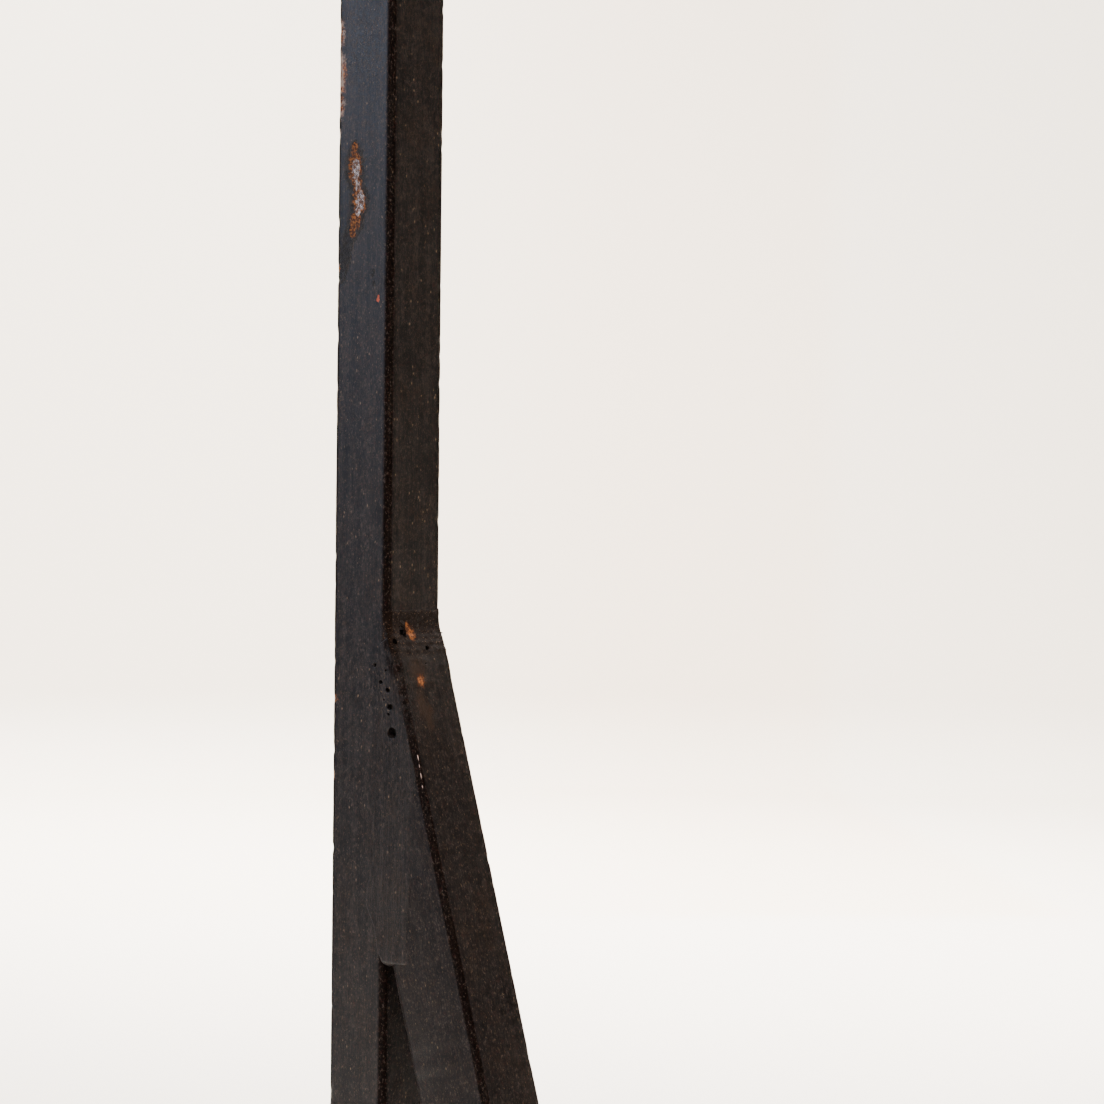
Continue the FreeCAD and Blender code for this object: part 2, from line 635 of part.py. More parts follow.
def clamp_bolt():
    """The bolt through both arms, its head outside the fixed arm."""
    seat = ROD_Y + ARM_NEAR + ARM_THICK
    end = WASHER_Y - WASHER_THICK - WING_HUB_LENGTH - BOLT_SPARE
    shank = rod(BOLT_R, V(BOLT_X, end, CLAMP_Z), Y_AXIS, seat - end)
    tip = [e for e in shank.Edges if isinstance(e.Curve, Part.Circle) and e.BoundBox.YMax < seat - PAST]
    shank = shank.makeChamfer(BOLT_CHAMFER, tip)
    head = rod(BOLT_HEAD_R, V(BOLT_X, seat, CLAMP_Z), Y_AXIS, BOLT_HEAD)
    crown = [e for e in head.Edges if e.BoundBox.YMin > seat + PAST]
    head = head.makeFillet(BOLT_CROWN, crown)
    return shank.fuse(head).removeSplitter()


def clamp_washer():
    """The washer between the cheeks and the wing nut."""
    start = V(BOLT_X, WASHER_Y - WASHER_THICK, CLAMP_Z)
    disc = rod(WASHER_R, start, Y_AXIS, WASHER_THICK)
    return disc.cut(rod(BOLT_R + SCREW_HOLE_GAP, start, Y_AXIS, WASHER_THICK))


def wing_nut():
    """A tapered hub with two rounded wings."""
    seat = WASHER_Y - WASHER_THICK - SCREW_HOLE_GAP
    start = V(BOLT_X, seat, CLAMP_Z)
    nut = cone(WING_HUB_R, WING_HUB_TIP_R, start, Y_AXIS * -1, WING_HUB_LENGTH)
    half = WING_THICK / 2
    for side in (-1, 1):
        middle_x = BOLT_X + side * (WING_SPAN_R - WING_HUB_LENGTH / 2)
        disc_y = seat - WING_RISE
        wing = rod(WING_HUB_LENGTH / 2, V(middle_x, disc_y, CLAMP_Z - half), Z_AXIS, WING_THICK)
        x0, x1 = sorted((BOLT_X, middle_x))
        web = box(x0, x1, disc_y - WING_WEB_INSET, seat - WING_WEB_INSET,
                  CLAMP_Z - half, CLAMP_Z + half)
        nut = nut.fuse(wing).fuse(web)
    nut = nut.removeSplitter()
    through = rod(BOLT_R + SCREW_HOLE_GAP, start + Y_AXIS * PAST, Y_AXIS * -1, 2 * WING_HUB_LENGTH)
    nut = nut.cut(through)
    nut.rotate(start, Y_AXIS, WING_TURN)
    return nut


def spring_ends():
    """Where the spring starts, on the fixed arm, and ends, short of the opened jaw."""
    reach = (BOLT_X - PIN_X - LEVER_HALF * math.sin(HALF_SWING)) / math.cos(HALF_SWING)
    on_jaw = PIN_Y - reach * math.sin(HALF_SWING) + LEVER_HALF * math.cos(HALF_SWING)
    rise = (SPRING_R + SPRING_WIRE_R) * math.tan(HALF_SWING)
    return ROD_Y + ARM_NEAR - SPRING_END_GAP, on_jaw + rise + SPRING_END_GAP


def clamp_spring():
    """The coil spring on the bolt, which pushes the jaws apart."""
    start, end = spring_ends()
    height = start - end - 2 * SPRING_WIRE_R
    path = Part.makeHelix(height / SPRING_TURNS, height, SPRING_R)
    wire = Part.Wire(Part.Circle(V(SPRING_R, 0, 0), Y_AXIS, SPRING_WIRE_R).toShape())
    coil = Part.Wire(path.Edges).makePipeShell([wire], True, True)
    coil.rotate(V(0, 0, 0), X_AXIS, 90)
    coil.translate(V(BOLT_X, start - SPRING_WIRE_R, CLAMP_Z))
    return coil


def clamp_rod():
    """The clamp's rod, stepped down to a spigot and a threaded end."""
    shoulder = BRIDGE_REAR_X - SWIVEL_FACE_GAP
    nut_seat = BRIDGE_FRONT_X + SWIVEL_FACE_GAP
    bar = plain_rod(CLAMP_Z, shoulder)
    bar = bar.fuse(rod(SPIGOT_R, V(shoulder, ROD_Y, CLAMP_Z), X_AXIS, nut_seat - shoulder))
    thread = rod(SWIVEL_THREAD_R, V(nut_seat, ROD_Y, CLAMP_Z), X_AXIS,
                 NUT_HEIGHT + SWIVEL_THREAD_SPARE)
    return bar.fuse(thread).removeSplitter()


def swivel_nut():
    """The hexagon nut that keeps the yoke on the spigot."""
    seat = BRIDGE_FRONT_X + SWIVEL_FACE_GAP
    corner = NUT_ACROSS_FLATS / math.sqrt(3)
    points = []
    for i in range(6):
        angle = math.radians(60 * i)
        points.append(V(seat, ROD_Y + corner * math.cos(angle), CLAMP_Z + corner * math.sin(angle)))
    nut = face_of(points).extrude(V(NUT_HEIGHT, 0, 0))
    hole_r = SWIVEL_THREAD_R + SCREW_HOLE_GAP
    return nut.cut(rod(hole_r, V(seat, ROD_Y, CLAMP_Z), X_AXIS, NUT_HEIGHT))


def make_clamp():
    """The two-jaw clamp with its rod."""
    save("clamp_rod", clamp_rod())
    save("swivel_nut", swivel_nut())
    save("clamp_yoke", clamp_yoke())
    save("fixed_lining", jaw_lining(1, ROD_Y, PIN_OFFSET))
    save("moving_jaw", moving_jaw())
    save("moving_lining", opened(jaw_lining(-1, PIN_Y, 0)))
    save("jaw_pin", jaw_pin())
    save("clamp_bolt", clamp_bolt())
    save("clamp_washer", clamp_washer())
    save("wing_nut", wing_nut())
    save("clamp_spring", clamp_spring())


os.makedirs("parts", exist_ok=True)
make_stand()
make_boss("ring", RING_Z)
make_boss("clamp", CLAMP_Z)
make_ring()
make_clamp()
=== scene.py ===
"""Looks for a welded bench retort stand: worn dark paint, ground welds, plated fittings."""

import math

import bmesh
import bpy
from mathutils import Matrix, Vector, noise


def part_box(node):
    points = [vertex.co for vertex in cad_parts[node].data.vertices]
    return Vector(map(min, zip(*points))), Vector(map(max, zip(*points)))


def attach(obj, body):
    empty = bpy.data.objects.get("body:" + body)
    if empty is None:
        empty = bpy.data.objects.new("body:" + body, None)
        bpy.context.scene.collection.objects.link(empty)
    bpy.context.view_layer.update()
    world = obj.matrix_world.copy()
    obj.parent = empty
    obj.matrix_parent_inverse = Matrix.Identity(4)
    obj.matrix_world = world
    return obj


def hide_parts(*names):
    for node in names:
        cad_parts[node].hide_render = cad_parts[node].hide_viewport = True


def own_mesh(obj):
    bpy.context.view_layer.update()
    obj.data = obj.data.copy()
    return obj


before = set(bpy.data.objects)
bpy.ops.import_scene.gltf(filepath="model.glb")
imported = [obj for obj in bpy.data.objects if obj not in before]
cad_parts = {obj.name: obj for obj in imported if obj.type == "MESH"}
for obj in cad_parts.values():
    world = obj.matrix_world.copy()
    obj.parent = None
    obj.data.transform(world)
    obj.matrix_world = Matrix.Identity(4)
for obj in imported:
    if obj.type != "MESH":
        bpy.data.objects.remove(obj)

bl_info = {
    "name": "Retort Stand",
    "version": (1, 0, 0),
    "blender": (4, 5, 0),
    "location": "View3D > Sidebar > Retort Stand",
    "description": "Builds the visible pieces of a welded retort stand around its frame",
    "category": "Object",
}

MM = 0.001

# ---- places read from the frame ------------------------------------------------------------

POST_LOW, POST_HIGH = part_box("post")
STRUT_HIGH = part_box("strut")[1]
SEAM_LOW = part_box("strut_seam_welds")[0]
CROTCH_LOW, CROTCH_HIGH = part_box("strut_crotch_weld")
BAR = POST_HIGH.y - POST_LOW.y
HALF = BAR / 2
POST_X = (POST_LOW.x + POST_HIGH.x) / 2
FACE_X = POST_HIGH.x
CROTCH_Z = SEAM_LOW.z
TILT = math.atan((CROTCH_HIGH.x - CROTCH_LOW.x) / (CROTCH_HIGH.z - CROTCH_LOW.z))
PLATE_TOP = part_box("base_plate")[1].z
HEAD_Z = PLATE_TOP + (STRUT_HIGH.x - FACE_X) / math.tan(TILT)
STRUT_DEPTH = (HEAD_Z - CROTCH_Z) * math.sin(TILT)
DOWN = Vector((math.sin(TILT), 0, -math.cos(TILT)))
OUT = Vector((math.cos(TILT), 0, math.sin(TILT)))
JUNCTION = (POST_X, 0.0, HEAD_Z)
HEAD_SUNK = 1.0 * MM  # how far the strut's head runs into the post
BAR_CORNER = 1.15  # the bars' corner radius in millimetres

# ---- marks on the bars, in millimetres ------------------------------------------------------
# Each is measured from the junction: across, up, half width, half height. Across is along X on
# the post's side and along Y on the strut's head.

CHIP_BARE = (
    (-1.85, 72.6, 1.0, 2.0), (-1.4, 69.9, 0.55, 1.1), (-0.85, 67.5, 1.05, 1.7),
    (-1.3, 65.7, 0.6, 0.8),
)
CHIP_RUST = (
    (-1.95, 73.0, 1.65, 3.0), (-1.4, 69.9, 1.25, 1.9), (-0.9, 67.3, 1.65, 2.5),
    (-1.6, 64.3, 1.4, 1.7), (-2.4, 62.6, 1.0, 1.4), (-2.0, 76.2, 0.7, 1.0),
)
CHIP_PITS = (
    (-3.3, 61.2, 1.1, 1.7), (-4.0, 58.8, 1.0, 2.1), (-4.7, 56.2, 0.8, 1.7),
    (2.4, 55.4, 0.35, 0.5), (2.7, 53.6, 0.3, 0.4),
)
EDGE_WEAR = (
    (-6.0, 95.0, 1.6, 3.6), (-5.8, 88.5, 2.1, 5.0), (-5.9, 83.5, 1.6, 2.8),
    (-6.2, 78.5, 1.0, 1.8), (-6.0, 56.6, 1.0, 1.3), (-5.7, -14.2, 1.1, 0.9),
    (-6.1, -27.0, 0.9, 1.1), (-6.1, 37.0, 0.7, 1.0), (-6.1, -8.2, 0.7, 0.6),
)
RED_DOT = ((3.7, 51.1, 0.42, 0.62),)
# Pores in the ground weld, then in the weld across the strut's head: across, up, half width,
# half height, depth.
SIDE_PORES = (
    (3.79, -8.44, 0.36, 0.34, 0.5), (5.2, -11.15, 0.42, 0.36, 0.6),
    (6.81, -12.4, 0.5, 0.42, 0.7), (7.3, -15.1, 0.66, 0.55, 0.9),
    (7.0, -16.3, 0.3, 0.28, 0.5), (7.81, -19.3, 0.92, 0.98, 1.5),
    (6.3, -9.2, 0.25, 0.22, 0.35), (6.0, -14.0, 0.2, 0.2, 0.3),
)
HEAD_PORES = ((-3.05, -2.75, 0.75, 0.6, 0.7), (1.4, -5.7, 0.5, 0.42, 0.6),
              (0.2, -8.2, 0.2, 0.2, 0.3))
HEAD_RUST = ((-1.3, -3.3, 1.1, 1.4), (-1.75, -1.9, 0.5, 0.6), (-1.6, -10.9, 1.15, 1.2))
# Spots of painted shade in the head weld's pores: across, up, half width, half height.
HEAD_HOLE_SHADE = ((-3.15, -2.9, 1.0, 1.05), (-5.5, -4.6, 0.5, 0.6), (1.4, -5.7, 0.45, 0.5))
CORNER_GLINTS = ((-5.72, -23.0, 0.07, 0.5), (-5.76, -24.3, 0.06, 0.35), (-5.8, -25.9, 0.07, 0.6),
                 (-5.85, -27.6, 0.05, 0.3))
HEAD_STAIN = ((-2.0, -9.0, 2.4, 3.4), (-2.4, -14.5, 1.6, 3.6), (-1.5, -17.0, 1.4, 2.8),
              (-4.2, -2.6, 2.2, 2.6), (-4.6, 0.4, 1.0, 2.4), (-5.6, -4.0, 1.3, 1.5),
              (-0.8, -15.6, 0.9, 1.3))

# Colours of single marks in the paint, linear.
SPECKLE_DARK = (0.003, 0.0025, 0.0025)
SPECKLE_PALE = (0.085, 0.062, 0.052)
RUDDY = (0.035, 0.013, 0.011)
GRINDING_MARK = (0.05, 0.041, 0.036)
CHIP_SHADOW = (0.012, 0.009, 0.008)
RUBBED_STEEL = (0.32, 0.22, 0.17)
RED_SPOT = (0.42, 0.07, 0.025)
STEEL_STAIN = (0.2, 0.1, 0.065)
RUST_BRIGHT = (0.4, 0.135, 0.04)
RUST_WASH = (0.045, 0.024, 0.014)
WELD_SCALE = (0.014, 0.008, 0.0055)
WELD_SPECK = (0.2, 0.12, 0.08)
PORE_SHADE = (0.002, 0.0015, 0.0013)
GLINT = (0.75, 0.55, 0.5)
PAINT_SHINE = 0.42
EDGE_DULLING = 0.34

# Heights above the junction where the post's skin is fine and finest, and its rows' heights, all
# in millimetres.
FINE_SPAN = (-95, 112)
CHIP_SPAN = (52, 80)
COARSE_ROW, FINE_ROW, CHIP_ROW = 6, 0.6, 0.22


# ---- settings a user would change ------------------------------------------------------------

def length(name, text, value):
    """A length in metres."""
    return bpy.props.FloatProperty(name=name, description=text, default=value, unit="LENGTH",
                                   precision=5)


def colour(name, text, value):
    """A linear colour."""
    return bpy.props.FloatVectorProperty(name=name, description=text, default=value, size=3,
                                         subtype="COLOR", min=0.0, max=1.0)


class StandSizes(bpy.types.PropertyGroup):
    """Sizes of the detail on the bars and welds."""
    corner: length("Bar corner", "Radius of the bars' rounded corners",
                   BAR_CORNER * MM)
    weld_proud: length("Weld height", "How far the ground weld stands above the bars",
                       0.07 * MM)
    chip_depth: length("Chip depth", "Depth of the chip in the paint and scale", 0.22 * MM)
    wave: length("Waviness", "Height of the rolled bar's slow waves", 0.02 * MM)


class StandColours(bpy.types.PropertyGroup):
    """Colours of the finishes."""
    paint: colour("Paint", "Dark paint on the welded stand", (0.0075, 0.0062, 0.006))
    paint_light: colour("Thin paint", "Paint where it is rubbed thin", (0.032, 0.0245, 0.021))
    fleck: colour("Flecks", "Tan flecks through the paint", (0.24, 0.155, 0.095))
    paint_brown: colour("Brown paint", "Paint where rust tints it", (0.03, 0.017, 0.01))
    # Also the painted shade on the post's face in the narrow of the gap.
    edge_brown_and_shade: colour("Edge brown", "Thin brown paint on the corners", (0.008, 0.003, 0.002))
    rust: colour("Rust", "Dry orange rust round a chip", (0.34, 0.12, 0.032))
    rust_dark: colour("Dark rust", "Old dark rust", (0.06, 0.02, 0.008))
    bare: colour("Bare steel", "Steel where the scale has gone", (0.6, 0.52, 0.49))
    enamel: colour("Enamel", "Grey enamel on the castings", (0.045, 0.05, 0.055))
    plate: colour("Plating", "Bright plating on the rods", (0.62, 0.62, 0.63))
    zinc: colour("Zinc", "Zinc on the fasteners", (0.55, 0.56, 0.57))
    brass: colour("Brass", "Turned brass pads", (0.62, 0.42, 0.16))
    cork: colour("Cork", "Cork linings", (0.42, 0.25, 0.12))
    rubber: colour("Rubber", "Feet", (0.018, 0.018, 0.019))


class StageSettings(bpy.types.PropertyGroup):
    """Camera, floor and lights."""
    turn: bpy.props.FloatProperty(name="View turn", description="Camera's turn about the post",
                                  default=math.radians(44.7), subtype="ANGLE")
    distance: length("Distance", "Camera to the post's axis", 450 * MM)
    rise: length("Rise", "Camera above the strut's head", 10.2 * MM)
    aside: bpy.props.FloatProperty(name="Aside", description="Camera's turn to put the post left",
                                   default=math.radians(3.474), subtype="ANGLE")
    roll: bpy.props.FloatProperty(name="Roll", description="Camera's lean",
                                  default=math.radians(0.54), subtype="ANGLE")
    lens: bpy.props.FloatProperty(name="Lens", description="Focal length on a 36 mm sensor",
                                  default=88.63, unit="CAMERA")
    line: length("Floor line", "Post to the line where the floor's paint changes", 1.87)
    room: length("Room", "Post to the wall all round it", 3.2)


# ---- small helpers ---------------------------------------------------------------------------

def smooth(low, high, value):
    """0 below low, 1 above high, and a smooth step between."""
    t = min(1.0, max(0.0, (value - low) / (high - low)))
    return t * t * (3 - 2 * t)


def ripple(point, size, seed=0.0):
    """Smooth noise from -1 to 1, with features about size metres across."""
    return noise.noise(Vector(point) / size + Vector((seed, seed * 1.7, seed * 0.3)))


def spot_value(spots, across, up):
    """How deep a point is in a group of spots: 1 at a centre, 0 at an edge, less outside."""
    best = -9.0
    for x, z, half_w, half_h in spots:
        reach = math.hypot((across - x) / half_w, (up - z) / half_h)
        best = max(best, 1.0 - reach)
    return best


def finish_mesh(bm, name, smooth_faces=True):
    """A bmesh as an object at the origin."""
    bmesh.ops.recalc_face_normals(bm, faces=bm.faces)
    mesh = bpy.data.meshes.new(name)
    bm.to_mesh(mesh)
    bm.free()
    for face in mesh.polygons:
        face.use_smooth = smooth_faces
    piece = bpy.data.objects.new(name, mesh)
    bpy.context.scene.collection.objects.link(piece)
    return piece


def dress(piece, body, slot, material, *nodes):
    """Give a piece its material, its body and the nodes it stands for."""
    piece.data.materials.clear()
    piece.data.materials.append(material)
    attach(piece, body)
    if nodes:
        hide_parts(*nodes)
    return piece


def paint_node(material, *nodes):
    """Give CAD nodes a material."""
    for node in nodes:
        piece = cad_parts[node]
        for place in piece.material_slots:
            place.material = material
        if not piece.material_slots:
            piece.data.materials.append(material)


def shared_finish(name, make, *args):
    """A finish that several steps use, made the first time that one asks for it."""
    return bpy.data.materials.get(name) or make(name, *args)


# ---- material graphs ---------------------------------------------------------------------------

class Graph:
    """A material's nodes, with short ways to add the common ones."""

    def __init__(self, name):
        self.material = bpy.data.materials.new(name)
        self.material.use_nodes = True
        self.nodes = self.material.node_tree.nodes
        self.links = self.material.node_tree.links
        self.nodes.clear()
        self.output = self.nodes.new("ShaderNodeOutputMaterial")
        self.shader = self.nodes.new("ShaderNodeBsdfPrincipled")
        self.links.new(self.shader.outputs[0], self.output.inputs[0])

    def put(self, socket, value):
        """Link a socket, or set a plain value."""
        if isinstance(value, bpy.types.NodeSocket):
            self.links.new(value, socket)
        elif hasattr(value, "__len__") and len(value) == 3 and socket.type == "RGBA":
            socket.default_value = (*value, 1.0)
        else:
            socket.default_value = value

    def place(self, centre=(0, 0, 0), turn=0.0, stretch=(1, 1, 1)):
        """Object coordinates in millimetres, about a centre, turned about Y and stretched."""
        coords = self.nodes.new("ShaderNodeTexCoord")
        mapping = self.nodes.new("ShaderNodeMapping")
        mapping.vector_type = "TEXTURE"
        mapping.inputs["Location"].default_value = centre
        mapping.inputs["Rotation"].default_value = (0, turn, 0)
        mapping.inputs["Scale"].default_value = [MM * s for s in stretch]
        self.links.new(coords.outputs["Object"], mapping.inputs["Vector"])
        return mapping.outputs[0]

    def noise(self, where, scale, detail=2.0, rough=0.5, distort=0.0):
        """Noise of about 1 / scale across."""
        node = self.nodes.new("ShaderNodeTexNoise")
        self.links.new(where, node.inputs["Vector"])
        node.inputs["Scale"].default_value = scale
        node.inputs["Detail"].default_value = detail
        node.inputs["Roughness"].default_value = rough
        node.inputs["Distortion"].default_value = distort
        return node.outputs["Fac"]

    def cells(self, where, scale):
        """Distance to the nearest of scattered points, and that point's random colour."""
        node = self.nodes.new("ShaderNodeTexVoronoi")
        self.links.new(where, node.inputs["Vector"])
        node.inputs["Scale"].default_value = scale
        return node.outputs["Distance"], node.outputs["Color"]

    def calc(self, what, a, b=0.0, c=0.0):
        """A math node."""
        node = self.nodes.new("ShaderNodeMath")
        node.operation = what
        for socket, value in zip(node.inputs, (a, b, c)):
            self.put(socket, value)
        return node.outputs[0]

    def vector(self, what, a, b=(0, 0, 0)):
        """A vector math node."""
        node = self.nodes.new("ShaderNodeVectorMath")
        node.operation = what
        self.put(node.inputs[0], a)
        self.put(node.inputs[1], b)
        return node.outputs["Value" if what in ("LENGTH", "DOT_PRODUCT") else "Vector"]

    def step(self, value, low, high, to_low=0.0, to_high=1.0):
        """A smooth step of a value."""
        node = self.nodes.new("ShaderNodeMapRange")
        node.interpolation_type = "SMOOTHSTEP"
        self.put(node.inputs["Value"], value)
        node.inputs["From Min"].default_value = low
        node.inputs["From Max"].default_value = high
        node.inputs["To Min"].default_value = to_low
        node.inputs["To Max"].default_value = to_high
        return node.outputs["Result"]

    def mix(self, share, a, b):
        """Colour a turning to b."""
        node = self.nodes.new("ShaderNodeMix")
        node.data_type = "RGBA"
        self.put(node.inputs[0], share)
        self.put(node.inputs[6], a)
        self.put(node.inputs[7], b)
        return node.outputs[2]

    def blend(self, share, a, b):
        """Number a turning to b."""
        node = self.nodes.new("ShaderNodeMix")
        self.put(node.inputs[0], share)
        self.put(node.inputs[2], a)
        self.put(node.inputs[3], b)
        return node.outputs[0]

    def part(self, vector, axis):
        """One part of a vector."""
        node = self.nodes.new("ShaderNodeSeparateXYZ")
        self.links.new(vector, node.inputs[0])
        return node.outputs[axis]

    def attribute(self, name):
        """A number that the mesh holds."""
        node = self.nodes.new("ShaderNodeAttribute")
        node.attribute_name = name
        return node.outputs["Fac"]

    def bump(self, height, strength, distance):
        """Bump from a height."""
        node = self.nodes.new("ShaderNodeBump")
        node.inputs["Strength"].default_value = strength
        node.inputs["Distance"].default_value = distance
        self.links.new(height, node.inputs["Height"])
        return node.outputs[0]

    def spots(self, where, spots, facing, fray):
        """Depth in a group of spots on the X-Z or Y-Z plane, with frayed edges."""
        best = None
        for across, up, half_w, half_h in spots:
            if facing == "side":
                centre, size = (across, 0, up), (1 / half_w, 0, 1 / half_h)
            else:
                centre, size = (0, across, up), (0, 1 / half_w, 1 / half_h)
            reach = self.vector("LENGTH", self.vector(
                "MULTIPLY", self.vector("SUBTRACT", where, centre), size))
            best = reach if best is None else self.calc("MINIMUM", best, reach)
        return self.calc("ADD", self.calc("SUBTRACT", 1.0, best), fray)

    def surface(self, base, rough, normal=None, metal=0.0, specular=0.4):
        """Set the shader."""
        self.put(self.shader.inputs["Base Color"], base)
        self.put(self.shader.inputs["Roughness"], rough)
        self.put(self.shader.inputs["Metallic"], metal)
        self.put(self.shader.inputs["Specular IOR Level"], specular)
        if normal is not None:
            self.links.new(normal, self.shader.inputs["Normal"])
        return self.material


def frayed(g, here):
    """The rag of the marks' edges."""
    return g.calc("MULTIPLY", g.calc("SUBTRACT", g.noise(here, 1.7, 4.0, 0.65), 0.5), 1.5)


def side_marks(g, here, base, rough, height):
    """The chip, pits, worn edge and red dot on the post's side."""
    c = bpy.context.scene.stand_colours
    fray = frayed(g, here)
    rust = g.step(g.spots(here, CHIP_RUST, "side", fray), 0.02, 0.22)
    dark = g.step(g.spots(here, CHIP_RUST + CHIP_PITS, "side", fray), -0.45, 0.1)
    bare = g.step(g.spots(here, CHIP_BARE, "side", fray), 0.0, 0.25)
    worn = g.step(g.spots(here, EDGE_WEAR, "side", fray), 0.0, 0.5)
    on_side = g.step(g.part(here, 1), -4.6, -5.2)
    dark = g.calc("MULTIPLY", dark, on_side)
    rust = g.calc("MULTIPLY", rust, on_side)
    bare = g.calc("MULTIPLY", bare, on_side)
    worn = g.calc("MULTIPLY", worn, on_side)
    red = g.calc("MULTIPLY", g.step(g.spots(here, RED_DOT, "side", fray), 0.1, 0.3), on_side)
    rust_tone = g.mix(g.step(g.noise(here, 2.6, 4.0), 0.44, 0.62), tuple(c.rust_dark),
                      tuple(c.rust))
    base = g.mix(dark, base, CHIP_SHADOW)
    base = g.mix(rust, base, rust_tone)
    base = g.mix(worn, base, g.mix(g.step(g.noise(here, 0.9, 3.0), 0.42, 0.58), rust_tone,
                                   RUBBED_STEEL))
    base = g.mix(red, base, RED_SPOT)
    scale = g.mix(g.step(g.noise(here, 1.7, 4.0, 0.65), 0.42, 0.6), STEEL_STAIN,
                  tuple(c.bare))
    base = g.mix(bare, base, scale)
    rough = g.blend(rust, rough, 0.75)
    rough = g.blend(bare, rough, 0.24)
    metal = g.calc("MULTIPLY", bare, 0.9)
    lump = g.noise(here, 2.0, 4.0, 0.65)
    height = g.calc("ADD", height, g.calc("MULTIPLY", g.calc("MULTIPLY", lump, dark), 7.0))
    return base, rough, metal, height


def head_marks(g, here, base, rough, shine, height):
    """Weld scale, rust, painted shade in the pores and glints round the strut's head."""
    c = bpy.context.scene.stand_colours
    fray = frayed(g, here)
    depth = g.spots(here, HEAD_RUST, "front", fray)
    rust = g.step(depth, -0.1, 0.4)
    stain = g.step(g.spots(here, HEAD_STAIN, "front", fray), -0.1, 0.8)
    core = g.calc("MULTIPLY", g.step(depth, 0.1, 0.7), g.step(g.noise(here, 3.2, 3.0), 0.34, 0.56))
    rust_tone = g.mix(core, tuple(c.rust_dark), RUST_BRIGHT)
    base = g.mix(g.calc("MULTIPLY", stain, 0.6), base, RUST_WASH)
    weld = g.step(g.part(here, 2), -9.0, -5.5)
    clot = g.noise(here, 1.9, 4.0, 0.65)
    clotted = g.calc("MULTIPLY", weld, g.step(clot, 0.35, 0.6, 0.5, 1.0))
    base = g.mix(clotted, base, WELD_SCALE)
    speck = g.calc("MULTIPLY", weld, g.step(g.noise(here, 3.6, 2.0, 0.6), 0.62, 0.68))
    base = g.mix(g.calc("MULTIPLY", speck, 0.6), base, WELD_SPECK)
    rough = g.calc("ADD", rough, g.calc("MULTIPLY", weld, 0.3))
    shine = g.calc("MULTIPLY", shine, g.calc("SUBTRACT", 1.0, g.calc("MULTIPLY", weld, 0.6)))
    base = g.mix(rust, base, rust_tone)
    # Painted shade: the pores' hollows are painted near black and lose their shine.
    hole_shade = g.step(g.spots(here, HEAD_HOLE_SHADE, "front", fray), 0.05, 0.4)
    base = g.mix(hole_shade, base, PORE_SHADE)
    shine = g.calc("MULTIPLY", shine, g.calc("SUBTRACT", 1.0, hole_shade))
    glint = g.step(g.spots(here, CORNER_GLINTS, "front", fray), 0.0, 0.6)
    base = g.mix(glint, base, GLINT)
    rough = g.blend(rust, rough, 0.6)
    height = g.calc("ADD", height, g.calc("MULTIPLY", g.calc("MULTIPLY", clot, weld), 2.5))
    return base, rough, shine, height


